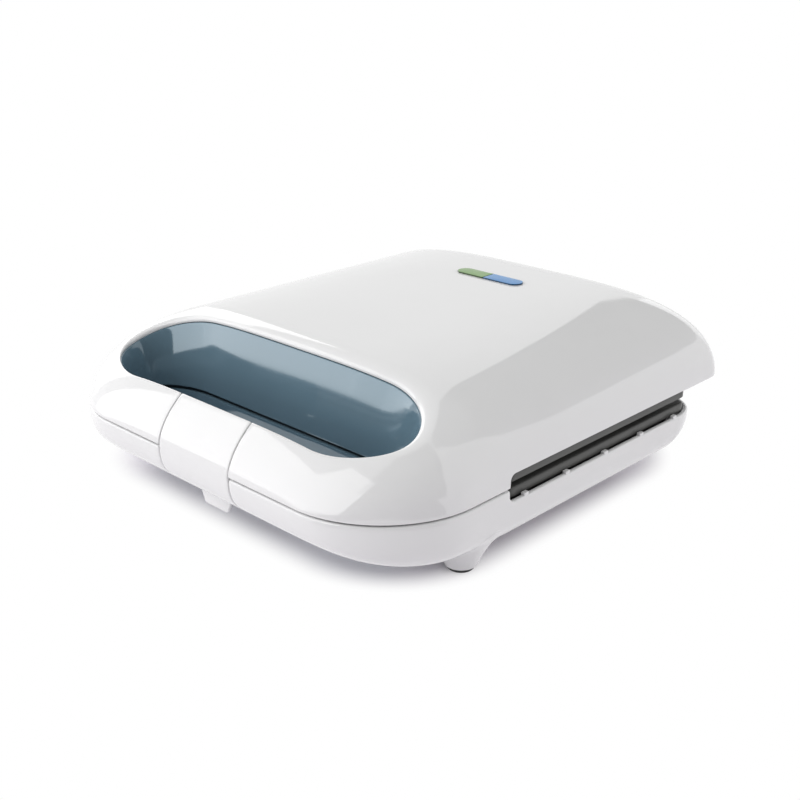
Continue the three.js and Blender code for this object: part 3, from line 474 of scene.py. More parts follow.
def casing_skin(form, opening, ahead, slot_edge, lip, round_front, round_rear, spread=1.0):
    """A casing's outer skin: lines that fan out from the opening's rim to the seam, then rows to the back."""
    x, y, nx, ny, angle = opening_line(*opening, ahead)
    straight = opening[2] - opening[3]
    share = rear_share(y, opening)
    rounding = round_front + (round_rear - round_front) * share
    reach = rounding * (1 + (spread - 1) * share)
    qx, qy = x + nx * reach, y + ny * reach
    a0 = form.a_of_x(qx / form.half_at(qy))
    s0 = form.s_of_y(qy)

    # The far ends of the lines: along the front and the seam, up the slot's end, then across the casing.
    slot_y, arc, edge = SLOT - lip, SLOT_ARC + lip, slot_edge + lip
    seam_a, seam_s = seam_line(form, straight, slot_y)
    step_a, step_s = slot_step(form, slot_y, arc, edge)
    last = form.a_of_z(edge / form.high_at(JOIN_Y))
    spare = END_POINTS - len(seam_a) - len(step_a)
    turn_a = np.linspace(last, form.a_of_x(straight / form.half_at(JOIN_Y)), spare)
    row_a = np.concatenate([turn_a, form.a_of_x(x[-REAR_POINTS:] / form.half_at(JOIN_Y))])
    a1 = np.concatenate([form.a_of_x(x[:FRONT_POINTS] / form.half_at(FRONT)), seam_a, step_a, row_a])
    s1 = np.concatenate([np.zeros(FRONT_POINTS), seam_s, step_s, np.full(len(row_a), form.s_of_y(JOIN_Y))])

    # The fan: straight in plan beside the straight edges, and straight on the skin at the round end.
    t = (np.linspace(0, 1, 31) ** 1.25)[None, :]
    s = s0[:, None] + (s1 - s0)[:, None] * t
    flat_a = a0[:, None] + (a1 - a0)[:, None] * t
    end_x, _, _ = form.point(a1, s1)
    line_x = qx[:, None] + (end_x - qx)[:, None] * t
    straight_a = form.a_of_x(line_x / form.half_at(np.interp(s, form.s, form.ys)))
    round_end = smooth((angle + math.pi / 2) / 0.5) * smooth((math.pi / 2 - angle) / 0.5)
    bend = np.concatenate([np.zeros(FRONT_POINTS), round_end, np.zeros(REAR_POINTS)])
    a = straight_a + (flat_a - straight_a) * bend[:, None]
    a[:, -1] = a1
    px, py, pz = form.point(a, s)

    # The rim: a quarter turn down from the skin, and a straight wall below it.
    turn = np.linspace(0, math.pi / 2, 13)[:-1]
    fx = x[:, None] + (nx * reach)[:, None] * (1 - np.cos(turn))
    fy = y[:, None] + (ny * reach)[:, None] * (1 - np.cos(turn))
    fa, fs = form.a_of_x(fx / form.half_at(fy)), form.s_of_y(fy)
    _, _, fz = form.point(fa, fs)
    fz = fz - rounding[:, None] * (1 - np.sin(turn))
    wall = fz[:, :1] - RIM_WALL
    px = np.concatenate([fx[:, :1], fx, px], axis=1)
    py = np.concatenate([fy[:, :1], fy, py], axis=1)
    pz = np.concatenate([wall, fz, pz], axis=1)

    # Ahead of the slot the lowest 6 mm rise a little, which leaves the seam's shadow gap.
    lift = (0.45 + lip) * np.clip(1 - pz / 6, 0, 1) * (py < slot_y + 0.001)
    fan = np.stack([px, py, pz + lift], axis=-1)
    fan_part = fan.reshape(-1, 3), grid_faces(*fan.shape[:2])
    points, faces = weld(*merged(fan_part, rear_rows(form, row_a, edge)), step=2e-3)
    points, faces = mirrored(points, faces)
    if form.side < 0:
        faces = faces[:, ::-1]
    points[:, 2] = SEAM + form.side * points[:, 2]
    normal = face_normals(points, faces)
    middle = points[faces].mean(1) - np.array([0, 10.0, SEAM])
    if np.einsum("ij,ij->", normal, middle) < 0:
        faces = faces[:, ::-1]
    return points, faces


def wall_depth(points, opening, wall, lip):
    """Wall of a casing: twice the lip at an opening's rim, easing to its full thickness 9 mm outside it."""
    front, rear, half, end = opening
    reach = (rear - front) / 2
    u = np.maximum(np.abs(points[:, 0]) - (half - end), 0.0) / end
    v = (points[:, 1] - (front + rear) / 2) / reach
    outside = (np.hypot(u, v) - 1) * reach
    return 2 * lip + (wall - 2 * lip) * smooth(outside / 9.0)


def skin_height(form, x, y):
    """Height of a casing's skin from the seam at a place in plan."""
    share = np.minimum(np.abs(x) / form.half_at(y), 1.0)
    return form.high_at(y) * (1 - share**form.across) ** (1 / form.up)


def bulkhead(form, drawn=1.4):
    """A wall across a casing just ahead of the slots: the casing's section there, drawn in."""
    y0, y1 = SLOT - INNER_WALL, SLOT - 0.2
    a = np.linspace(0, form.a[-1], 40)
    half, high = form.half_at(y0) - drawn, form.high_at(y0) - drawn
    x, z = half * np.interp(a, form.a, form.cx), high * np.interp(a, form.a, form.cz)
    z = np.maximum(z, 0.35)
    x, z = np.concatenate([x, -x[::-1][:-1]]), np.concatenate([z, z[::-1][:-1]])
    return prism(np.stack([x, SEAM + form.side * z], 1), y0, y1, "y", 0.3)


def middle_line(form, y0, y1, count, drawn=0.0):
    """Points (y, z) of the middle profile between two places, moved in by an amount."""
    s = np.linspace(form.s_of_y(y0), form.s_of_y(y1), count)
    y = np.interp(s, form.s, form.ys)
    z = form.high_at(y)
    dy, dz = np.gradient(y), np.gradient(z)
    size = np.hypot(dy, dz)
    return np.stack([y + drawn * dz / size, SEAM + form.side * (z - drawn * dy / size)], 1)


# Materials


def nodes_of(name):
    """A new material with its node tree and its shader."""
    material = bpy.data.materials.new(name)
    material.use_nodes = True
    tree = material.node_tree
    shader = tree.nodes["Principled BSDF"]
    return material, tree, shader


def noise(tree, scale, detail=3.0, roughness=0.5, stretch=None):
    """Noise on the piece's own coordinates, which are in metres, times scale, and stretched if asked."""
    where = tree.nodes.new("ShaderNodeTexCoord")
    texture = tree.nodes.new("ShaderNodeTexNoise")
    texture.inputs["Scale"].default_value = scale
    texture.inputs["Detail"].default_value = detail
    texture.inputs["Roughness"].default_value = roughness
    if stretch:
        mapping = tree.nodes.new("ShaderNodeMapping")
        mapping.inputs["Scale"].default_value = stretch
        tree.links.new(where.outputs["Object"], mapping.inputs["Vector"])
        tree.links.new(mapping.outputs["Vector"], texture.inputs["Vector"])
    else:
        tree.links.new(where.outputs["Object"], texture.inputs["Vector"])
    return texture.outputs["Fac"]


def between(tree, source, low, high):
    """A noise of about 0.3 to 0.7 spread over a range."""
    spread = tree.nodes.new("ShaderNodeMapRange")
    spread.inputs["From Min"].default_value = 0.3
    spread.inputs["From Max"].default_value = 0.7
    spread.inputs["To Min"].default_value = low
    spread.inputs["To Max"].default_value = high
    tree.links.new(source, spread.inputs["Value"])
    return spread.outputs["Result"]


def tinted(tree, source, first, second):
    """Two colours mixed by a source: the first at 0 and the second at 1."""
    mix = tree.nodes.new("ShaderNodeMix")
    mix.data_type = "RGBA"
    # Inputs 6 and 7 and output 2 are the node's colour sockets.
    mix.inputs[6].default_value = (*first, 1)
    mix.inputs[7].default_value = (*second, 1)
    tree.links.new(source, mix.inputs[0])
    return mix.outputs[2]


def bumped(tree, shader, source, depth):
    """Relief of a depth in metres from a source."""
    bump = tree.nodes.new("ShaderNodeBump")
    bump.inputs["Strength"].default_value = 1.0
    bump.inputs["Distance"].default_value = depth
    tree.links.new(source, bump.inputs["Height"])
    tree.links.new(bump.outputs["Normal"], shader.inputs["Normal"])


def finish(name, colour, dark, roughness, grain, depth, metallic=0.0, cloud=14.0, stretch=None, **sockets):
    """A surface whose colour drifts between two tones, with grain in its roughness and relief.

    The roughness is (least, most), cloud and grain are noise scales per metre, and depth is in metres.
    """
    material, tree, shader = nodes_of(name)
    soft = noise(tree, cloud, 3.0, 0.55, stretch)
    fine = noise(tree, grain, 4.0, 0.6, stretch)
    tree.links.new(tinted(tree, between(tree, soft, 0.0, 1.0), dark, colour), shader.inputs["Base Color"])
    tree.links.new(between(tree, fine, *roughness), shader.inputs["Roughness"])
    bumped(tree, shader, fine, depth)
    shader.inputs["Metallic"].default_value = metallic
    for socket, value in sockets.items():
        shader.inputs[socket.replace("_", " ")].default_value = value
    return material


def shade(colour, factor):
    """A colour made darker by a factor."""
    return tuple(c * factor for c in colour)


def casing_finish(settings):
    """The mouldings' smooth white gloss."""
    colour = tuple(settings.colour)
    roughness = (0.045, 0.075)
    return finish("white_gloss_moulding", colour, shade(colour, 0.975), roughness, 900.0, 0.0000006, IOR=1.6)


# Sizes and colours a user may change


class CasingSettings(bpy.types.PropertyGroup):
    """Sizes and colours of the casings, the latch and the liners"""

    colour: FloatVectorProperty(
        name="Casing colour", description="Colour of both mouldings and the latch", subtype="COLOR",
        size=3, min=0, max=1, default=(0.80, 0.80, 0.80),
    )
    wall: FloatProperty(
        name="Wall", description="Wall thickness of the mouldings", unit="LENGTH",
        default=0.0024, min=0.001, max=0.004, precision=4,
    )
    lip: FloatProperty(
        name="Edge rounding", description="Radius of the mouldings' free edges", unit="LENGTH",
        default=0.00045, min=0.0002, max=0.0008, precision=5,
    )
    rim: FloatProperty(
        name="Rim rounding", description="Radius where the lid turns down into the finger opening",
        unit="LENGTH", default=0.0031, min=0.001, max=0.006, precision=4,
    )
    liner_colour: FloatVectorProperty(
        name="Liner colour", description="Colour of the finger opening's liners", subtype="COLOR",
        size=3, min=0, max=1, default=(0.125, 0.20, 0.252),
    )


class LensSettings(bpy.types.PropertyGroup):
    """Colours and height of the lenses"""

    power: FloatVectorProperty(
        name="Power colour", description="Colour of the left lens", subtype="COLOR",
        size=3, min=0, max=1, default=(0.19, 0.36, 0.10),
    )
    ready: FloatVectorProperty(
        name="Ready colour", description="Colour of the right lens", subtype="COLOR",
        size=3, min=0, max=1, default=(0.06, 0.27, 0.61),
    )
    proud: FloatProperty(
        name="Stand proud", description="How far the lenses stand above the lid", unit="LENGTH",
        default=0.0009, min=0.0003, max=0.0009, precision=5,
    )


class PlateSettings(bpy.types.PropertyGroup):
    """Pockets and colour of the cooking plates"""

    depth: FloatProperty(
        name="Pocket depth", description="Depth of the three-cornered pockets", unit="LENGTH",
        default=0.009, min=0.004, max=0.0095, precision=4,
    )
    slope: FloatProperty(
        name="Pocket slope", description="Run of the pockets' sloping sides", unit="LENGTH",
        default=0.0065, min=0.003, max=0.01, precision=4,
    )
    colour: FloatVectorProperty(
        name="Coating colour", description="Colour of the non-stick coating", subtype="COLOR",
        size=3, min=0, max=1, default=(0.068, 0.069, 0.065),
    )


class StageSettings(bpy.types.PropertyGroup):
    """Floor colour and strength of the light"""

    floor: FloatVectorProperty(
        name="Floor colour", description="Colour of the floor", subtype="COLOR",
        size=3, min=0, max=1, default=(0.86, 0.83, 0.88),
    )
    light: FloatProperty(
        name="Light", description="Share of the softboxes' own power", default=1.0, min=0.0, max=4.0,
    )
    ambient: FloatProperty(
        name="Ambient", description="Strength of the even light from all round",
        default=0.45, min=0.0, max=2.0,
    )


# The pieces


def latch_cheeks(form, behind):
    """The walls on both sides of the latch's recess, from the skin to the seam and back to y behind it."""
    level_z = SEAM + form.side * SEAM_GAP
    skin_line = middle_line(form, -125.4, behind, 14, 0.9)
    outline = np.concatenate([skin_line, [[behind, level_z], [-125.0, level_z]]])
    ends = [sorted((way * NOTCH, way * (NOTCH + INNER_WALL))) for way in (-1, 1)]
    return [prism(outline, x0, x1, "x", 0.3) for x0, x1 in ends]


def latch_seat(y0, y1, z0, z1):
    """The wall behind the latch, across its recess."""
    return prism(rectangle(y0, y1, z0, z1), -NOTCH - 0.2, NOTCH + 0.2, "x", 0.4)


def screw_posts(profile):
    """The two posts that take a plate's screws, each turned from a profile of (radius, z) pairs."""
    return [turned_profile(profile, (0, y), "z", 32) for y in SCREWS]


def hinge_arc(start, end, count):
    """Points (y, z) round the hinge line between two angles, given in half turns."""
    turn = np.linspace(start * math.pi, end * math.pi, count)
    return np.stack([HINGE[0] + HINGE_RADIUS * np.cos(turn), HINGE[1] + HINGE_RADIUS * np.sin(turn)], 1)


def hinge_ears():
    """The lid's four ears, one on each side of both hinge posts: round below and flared up to the skin."""
    ears = []
    for way, out in ((-1, -1), (-1, 1), (1, -1), (1, 1)):
        near = way * HINGE_X + out * 5.6
        x0, x1 = sorted((near, near + out * 4))
        rear, ahead = (SEAM + skin_height(LID, max(abs(x0), abs(x1)), y) - 1.3 for y in (111.6, 98.0))
        flare = [
            (110.0, 52.0), (110.1, 62.0), (110.6, 68.0), (111.6, rear),
            (98.0, ahead), (99.4, 68.0), (99.9, 62.0), (100.0, 52.0),
        ]
        ears.append(prism(np.concatenate([hinge_arc(1, 2, 25), flare]), x0, x1, "x", 0.5))
    return ears


class OBJECT_OT_upper_casing(bpy.types.Operator):
    """Lid moulding: outer skin with the opening's rim, latch recess, hinge ears and the wall at the slots"""

    bl_idname = "cooker.upper_casing"
    bl_label = "Upper casing"

    def execute(self, context):
        settings = context.scene.cooker_casing
        lip, wall = mm(settings.lip), mm(settings.wall)
        skin = casing_skin(
            LID, LID_OPENING, ahead=NOTCH + lip, slot_edge=6.25, lip=lip,
            round_front=RIM_FRONT, round_rear=mm(settings.rim), spread=2.4,
        )
        parts = [shell(*skin, wall_depth(skin[0], LID_OPENING, wall, lip), lip)]
        parts += latch_cheeks(LID, -113.3)
        parts.append(latch_seat(-116, -110.6, SEAM + SEAM_GAP, 53.1))
        parts.append(bulkhead(LID))
        parts += hinge_ears()
        parts += screw_posts([(5.5, 54.8), (5.5, 70.0), (6.5, 76.0), (8.5, 79.6)])
        material = casing_finish(settings)
        put("lid_moulding", merged(*parts), "lid", "upper_casing", material)
        return {"FINISHED"}


def foot_boss(x, y):
    """A cone, z = 2.6 + 13.4 ((r - 7.3) / 7.1) ^ 0.87, joined to the base's underside by a smooth minimum."""
    pad, far, blend = 7.3, 18.6, 2.0
    lip = np.array([(NEAR_AXIS, 2.5), (5.4, 2.5), (5.9, 2.15), (6.5, 2.0), (7.05, 2.15), (pad, 2.6)])
    reach = pad + (far - pad) * np.linspace(0.0, 1.0, 34)[1:] ** 1.3
    radius = np.concatenate([lip[:, 0], reach])[:, None]
    turn = (np.arange(96) * 2 * math.pi / 96)[None, :]
    px, py = x + radius * np.cos(turn), y + radius * np.sin(turn)
    cone = 2.6 + 13.4 * (np.maximum(radius - pad, 0.0) / 7.1) ** 0.87
    under = SEAM - skin_height(BASE, px, py) + 0.05
    share = np.clip(0.5 + 0.5 * (under - cone) / blend, 0.0, 1.0)
    outer = under * (1 - share) + cone * share - blend * share * (1 - share)
    outer[: len(lip)] = lip[:, 1:]
    inner = np.maximum(outer + 1.3, 4.2)[::-1]
    rings = np.concatenate([np.stack([px, py, outer], -1), np.stack([px[::-1], py[::-1], inner], -1)])
    return capped(rings)


def hinge_posts():
    """The base's two hinge posts: a boss round the pin on an arm from the rear wall."""
    arm = [
        (97.0, 37.0), (93.5, 34.6), (91.0, 34.35), (90.8, 24.6),
        (94.0, 25.0), (98.6, 26.6), (103.0, 30.0), (106.0, 33.4),
    ]
    outline = np.concatenate([hinge_arc(-0.35, 0.95, 40), arm])
    return [prism(outline, way * HINGE_X - 5, way * HINGE_X + 5, "x", 0.6) for way in (-1, 1)]


def slot_rests():
    """Five small rests along each side slot, evenly spaced."""
    rests = []
    for side in (-1, 1):
        x0, x1 = sorted((side * 112.6, side * 114.7))
        for k in range(5):
            y = SLOT + 11 + 28.6 * k
            rests.append(prism(rectangle(y - 1.5, y + 1.5, 33.2, 35.45), x0, x1, "x", 0.35))
    return rests


class OBJECT_OT_lower_casing(bpy.types.Operator):
    """Base moulding: outer skin, latch recess, hinge posts, flared foot bosses and the rests for the plate"""

    bl_idname = "cooker.lower_casing"
    bl_label = "Lower casing"

    def execute(self, context):
        settings = context.scene.cooker_casing
        lip, wall = mm(1.9 * settings.lip), mm(settings.wall)
        skin = casing_skin(
            BASE, BASE_OPENING, ahead=NOTCH + lip, slot_edge=6.15, lip=lip, round_front=1.4, round_rear=2.4,
        )
        parts = [shell(*skin, wall_depth(skin[0], BASE_OPENING, wall, lip), lip)]
        parts += latch_cheeks(BASE, -110.4)
        parts.append(latch_seat(-111.7, -108.9, 26.0, SEAM - SEAM_GAP))
        parts.append(bulkhead(BASE))
        parts += hinge_posts()
        parts += [foot_boss(x, y) for x, y in FEET.values()]
        parts += slot_rests()
        parts += screw_posts([(8.5, 11.6), (6.5, 14.0), (5.5, 18.0), (5.5, 26.2)])
        material = casing_finish(settings)
        put("base_moulding", merged(*parts), "base", "lower_casing", material)
        return {"FINISHED"}


def ring_outline(opening, ahead, behind, sides, count=220):
    """An opening's whole outline, drawn in at its front, rear and sides, anticlockwise and evenly spaced."""
    front, rear = opening[0] + ahead, opening[1] - behind
    half, end = opening[2] - sides, opening[3] - sides
    straight, middle, reach = half - end, (front + rear) / 2, (rear - front) / 2
    angle = np.linspace(-math.pi / 2, math.pi / 2, 400)
    right = np.stack([straight + end * np.cos(angle), middle + reach * np.sin(angle)], 1)
    return evened(np.concatenate([right, -right + [0, 2 * middle], right[:1]]), count, endpoint=False)


# A liner's edge, in turn across it: share of its thickness, and how far below the top in edge heights.
LINER_EDGE = ((0.0, 1.0), (0.08, 0.3), (0.25, 0.0), (0.75, 0.0), (0.92, 0.3), (1.0, 1.0))


def ring_wall(low_line, high_line, low_z, high_z, thickness, rows=16, edge=0.4):
    """A wall between two outlines: z rises with t, and the outline moves over with t ^ 1.4.

    It is thickened outwards, and both its edges are rounded. A height is one number or one for each point.
    """
    low_z, high_z = (np.broadcast_to(z, len(low_line)) for z in (low_z, high_z))
    t = np.linspace(0, 1, rows)[:, None]
    inner_xy = low_line[None] + (high_line - low_line)[None] * t[:, :, None] ** 1.4
    z = low_z[None, :] + (high_z - low_z)[None, :] * t
    step = np.roll(inner_xy, -1, 1) - np.roll(inner_xy, 1, 1)
    out = np.stack([step[..., 1], -step[..., 0]], -1)
    out /= np.linalg.norm(out, axis=-1, keepdims=True)

    def ring(share, k, dz):
        """Row k moved out by a share of the thickness, and up."""
        return np.concatenate([inner_xy[k] + out[k] * thickness * share, (z[k] + dz)[:, None]], 1)

    rings = [ring(0.0, k, 0.0) for k in range(rows - 1)]
    rings += [ring(share, -1, -drop * edge) for share, drop in LINER_EDGE]
    rings += [ring(1.0, k, 0.0) for k in range(rows - 2, 0, -1)]
    rings += [ring(share, 0, drop * edge) for share, drop in reversed(LINER_EDGE)]
    return looped(np.stack(rings))


def at_latch(points, half):
    """True for points at the handle's front that are less than a half width from the middle."""
    return (np.abs(points[:, 0]) < half) & (points[:, 1] < -90)


class OBJECT_OT_handle_liners(bpy.types.Operator):
    """The two smooth liners of the finger opening, in the lid and in the base"""

    bl_idname = "cooker.handle_liners"
    bl_label = "Handle liners"

    def execute(self, context):
        settings = context.scene.cooker_casing
        colour = tuple(settings.liner_colour)
        material = finish(
            "blue_grey_moulding", colour, shade(colour, 0.93), (0.07, 0.11), 700.0, 0.0000015,
            IOR=1.78, Specular_Tint=(0.8, 0.93, 1.0, 1.0),
            Coat_Weight=0.25, Coat_IOR=1.6, Coat_Roughness=0.04,
        )
        thickness = 1.8
        low = ring_outline(BASE_OPENING, 2.1, 5.0, 3.0)
        high = ring_outline(LID_OPENING, 0.6, 0.6, 0.6)
        rounding = RIM_FRONT + (mm(settings.rim) - RIM_FRONT) * rear_share(high[:, 1], LID_OPENING)
        top = SEAM + skin_height(LID, high[:, 0], high[:, 1]) - rounding - RIM_WALL - 0.55
        top = np.where(at_latch(high, 24.7), np.minimum(top, SEAM + 12.3), top)
        part = ring_wall(low, high, SEAM + 1.1, top, thickness)
        put("lid_handle_liner", part, "lid", "upper_handle_liner", material)

        foot = SEAM - skin_height(BASE, low[:, 0], low[:, 1]) + 1.6
        foot = np.where(at_latch(low, 25.5), 24.0, foot)
        wall = ring_wall(low, low, foot, SEAM - 0.9, thickness)

        # A tongue outside the wall closes the parting line, coloured as painted shade: the liner's colour at
        # a quarter. It stays low behind the latch.
        line = ring_outline(BASE_OPENING, -0.3, 2.6, 0.6)
        tongue, faces = ring_wall(line, line, SEAM - 4.0, SEAM + 2.4, 0.8)
        low_z = np.minimum(tongue[:, 2], SEAM - 1.2)
        tongue[:, 2] = np.where(at_latch(tongue, 27.0), low_z, tongue[:, 2])
        part = merged(wall, (tongue, faces))
        piece = put("base_handle_liner", part, "base", "lower_handle_liner", material)
        # The tongue's material is a darkened copy of the liner's finish, painted shade for the gap in the
        # parting line.
        dark, darker = shade(colour, 0.25), shade(colour, 0.2)
        piece.data.materials.append(finish("shaded_moulding", dark, darker, (0.35, 0.45), 700.0, 0.0000015))
        order = np.zeros(len(piece.data.polygons), np.int32)
        order[len(wall[1]):] = 1
        piece.data.polygons.foreach_set("material_index", order)
        return {"FINISHED"}


def latch_band(lip):
    """The latch's band: the casings' middle profile from the upper rim round the front to below the base."""
    over = middle_line(LID, FRONT, LID_OPENING[0] - lip, 34)[::-1]
    under = middle_line(BASE, FRONT, -114.0 - lip, 34)[1:]
    y, z = evened(np.concatenate([over, under]), 80).T
    x = np.linspace(-LATCH_HALF + lip, LATCH_HALF - lip, 40)
    points = np.stack(np.broadcast_arrays(x[None, :], y[:, None], z[:, None]), -1).reshape(-1, 3)
    faces = grid_faces(len(y), len(x))
    if face_normals(points, faces)[:, 1].sum() > 0:
        faces = faces[:, ::-1]
    return shell(points, faces, INNER_WALL, lip)


class OBJECT_OT_latch(bpy.types.Operator):
    """The pivoting latch: a band that follows the handle bar, with its barrel, hook and pull tab"""

    bl_idname = "cooker.latch"
    bl_label = "Latch"

    def execute(self, context):
        settings = context.scene.cooker_casing
        parts = [latch_band(0.5)]
        end = LATCH_HALF - 0.5
        barrel = [(2.2, -LATCH_HALF), (2.7, -end), (2.7, end), (2.2, LATCH_HALF)]
        parts.append(turned_profile(barrel, LATCH_PIVOT, "x", 32))
        nose = [(-121.6, 26.6), (-112.6, 27.5), (-112.6, 29.0), (-121.6, 30.5)]
        parts.append(prism(nose, -9, 9, "x", 0.3))
        turn = np.linspace(0, math.pi / 2, 7)
        curve = [(6.6 + 2.2 * math.cos(w), 16.6 - 2.2 * math.sin(w)) for w in turn]
        right = [(10.5, 21.6), (10.2, 19.8), (9.4, 17.6), (8.95, 16.95), *curve]
        pull_tab = right + [(-u, v) for u, v in right[::-1]]
        parts.append(prism(pull_tab, -114.9, -112.9, "y", 0.7))
        put("latch_band", merged(*parts), "latch", "latch", casing_finish(settings))
        return {"FINISHED"}


# The window on the lid: x of its middle and of the joint between its lenses, half its length, the radius of
# its round ends, y of its middle line, and the height of the lid's skin beside it.
LENS_CENTRE = -1.9
LENS_JOINT = -3.1
LENS_HALF = 21.0
LENS_RADIUS = 4.7
LENS_Y = 72.1
LENS_SKIN = 81.5


def lens_outline(way):
    """Half of a long window with a round end: x from the joint, y from its middle line, anticlockwise."""
    joint, tip = abs(LENS_JOINT + way * 0.15), abs(LENS_CENTRE + way * LENS_HALF)
    sign = 1 if way * LENS_JOINT > 0 else -1
    start, straight = sign * joint, tip - LENS_RADIUS
    turn = np.linspace(-math.pi / 2, math.pi / 2, 40)
    edge = np.linspace(start, straight, 24)[:-1]
    side = np.full(len(edge), LENS_RADIUS)
    return np.concatenate([
        np.stack([edge, -side], 1),
        np.stack([straight + LENS_RADIUS * np.cos(turn), LENS_RADIUS * np.sin(turn)], 1),
        np.stack([edge[::-1], side], 1),
        np.stack([np.full(11, start), np.linspace(LENS_RADIUS, -LENS_RADIUS, 13)[1:-1]], 1),
    ])


def lens_part(way, proud):
    """A lens: upright sides, a round edge, and a top that rises inwards by crown (1 - share ^ 2)."""
    outline = lens_outline(way)
    edge, crown = 0.2, 0.15
    upright_by = proud - (edge + crown)
    shoulder = LENS_SKIN + proud - (edge + crown)
    rings = [(0.0, 77.9), (0.0, 80.3), (0.0, LENS_SKIN - 0.1)]
    rings += [(0.0, LENS_SKIN + share * upright_by) for share in (0.4, 1.0)]
    turn = np.linspace(0, math.pi / 2, 5)[1:]
    rings += [(edge * (1 - math.cos(w)), shoulder + edge * math.sin(w)) for w in turn]
    shaped = []
    for amount, z in rings:
        line = inset(outline, amount)
        shaped.append(np.column_stack([way * line[:, 0], LENS_Y + line[:, 1], np.full(len(line), z)]))
    top = shaped[-1]
    centre = np.array([top[:, 0].mean(), LENS_Y, 0.0])
    for share in (0.9, 0.75, 0.55, 0.35, 0.15):
        ring = centre + (top - centre) * share
        ring[:, 2] = top[:, 2] + crown * (1 - share**2)
        shaped.append(ring)
    return capped(np.stack(shaped))


def lens_finish(name, colour):
    """Tinted plastic, a little deeper in places, under a clear gloss."""
    return finish(
        name + "_plastic", colour, shade(colour, 0.9), (0.08, 0.13), 500.0, 0.000002, cloud=60.0, IOR=1.42,
    )


class OBJECT_OT_lenses(bpy.types.Operator):
    """The two halves of the long indicator window, each with a crisp edge, a skirt painted dark as shade and
    a crowned top
    """

    bl_idname = "cooker.lenses"
    bl_label = "Lenses"

    def execute(self, context):
        settings = context.scene.cooker_lenses
        proud = mm(settings.proud)
        for way, node, slot, colour in (
            (-1, "power_lens", "green_lens", settings.power),
            (1, "ready_lens", "blue_lens", settings.ready),
        ):
            tone = tuple(colour)
            piece = put(node + "_cover", lens_part(way, proud), "lid", node, lens_finish(node, tone))
            # The second material is a darker copy of the lens's finish, painted shade for the skirt.
            piece.data.materials.append(lens_finish(node + "_skirt", shade(tone, 0.2)))
            # Faces that lie below the crown's edge are the skirt, whose material is the lens's colour at a
            # fifth: painted shade on its upright sides.
            centres = np.zeros(len(piece.data.polygons) * 3)
            piece.data.polygons.foreach_get("center", centres)
            painted_shade_skirt = mm(centres[2::3]) < LENS_SKIN + proud - 0.16
            piece.data.polygons.foreach_set("material_index", painted_shade_skirt.astype(np.int32))
        return {"FINISHED"}


def triangle_depth(x, y, corners, radius, slope):
    """0 outside a round-cornered triangle, rising to 1 at a slope's run inside it.

    The rise is 6 t^5 - 15 t^4 + 10 t^3, where t is the distance from the edge as a share of the slope's run.
    """
    corners = np.array(corners, float)
    centre = corners.mean(0)
    best = np.full(x.shape, np.inf)
    inside = np.ones(x.shape, bool)
    drawn = []
    for k in range(3):
        p, q = corners[k], corners[(k + 1) % 3]
        along = (q - p) / np.linalg.norm(q - p)
        inward = np.array([-along[1], along[0]])
        if inward @ (centre - p) < 0:
            inward = -inward
        drawn.append((p + inward * radius, along, inward))
    points = []
    for k in range(3):
        (p, d, _), (q, e, _) = drawn[k - 1], drawn[k]
        gap = q - p
        points.append(p + d * ((gap[0] * e[1] - gap[1] * e[0]) / (d[0] * e[1] - d[1] * e[0])))
    for k in range(3):
        p, q = points[k], points[(k + 1) % 3]
        span = q - p
        t = np.clip(((x - p[0]) * span[0] + (y - p[1]) * span[1]) / (span @ span), 0, 1)
        best = np.minimum(best, np.hypot(x - p[0] - t * span[0], y - p[1] - t * span[1]))
        inside &= ((x - p[0]) * drawn[k][2][0] + (y - p[1]) * drawn[k][2][1]) > 0
    distance = np.where(inside, -best, best) - radius
    t = np.clip(-distance / slope, 0, 1)
    return t**3 * (t * (6 * t - 15) + 10)


def dense(low, high, spots, fine, coarse, reach):
    """Places from low to high: fine steps within reach of a spot, and coarse ones elsewhere."""
    spots = np.array(spots)
    places = [low]
    while places[-1] < high:
        near = np.min(np.abs(spots - places[-1]))
        places.append(places[-1] + (fine if near < reach else coarse))
    places = np.array(places)
    return low + (places - low) * (high - low) / (places[-1] - low)


def plate_relief(gx, gy, depth, slope):
    """Depth of a plate's face: two three-cornered pockets in each half, and a seat round each screw."""
    near, far, front, rear = 5.0, 102.0, -44.1, 76.1
    half_ridge, pocket_corner = 3.5, 9.0
    run = np.array([far - near, rear - front])
    run /= np.linalg.norm(run)
    dx, dy = half_ridge / run[1], half_ridge / run[0]
    deep = np.zeros_like(gx)
    for triangle in (
        [(near + dx, front), (far, front), (far, rear - dy)],
        [(near, front + dy), (far - dx, rear), (near, rear)],
    ):
        pocket = triangle_depth(np.abs(gx), gy, triangle, pocket_corner, slope)
        deep = np.maximum(deep, depth * pocket)
    for spot in SCREWS:
        distance = np.hypot(gx, gy - spot)
        deep = np.maximum(deep, 2.5 * smooth((5.2 - distance) / 0.8))
    return deep


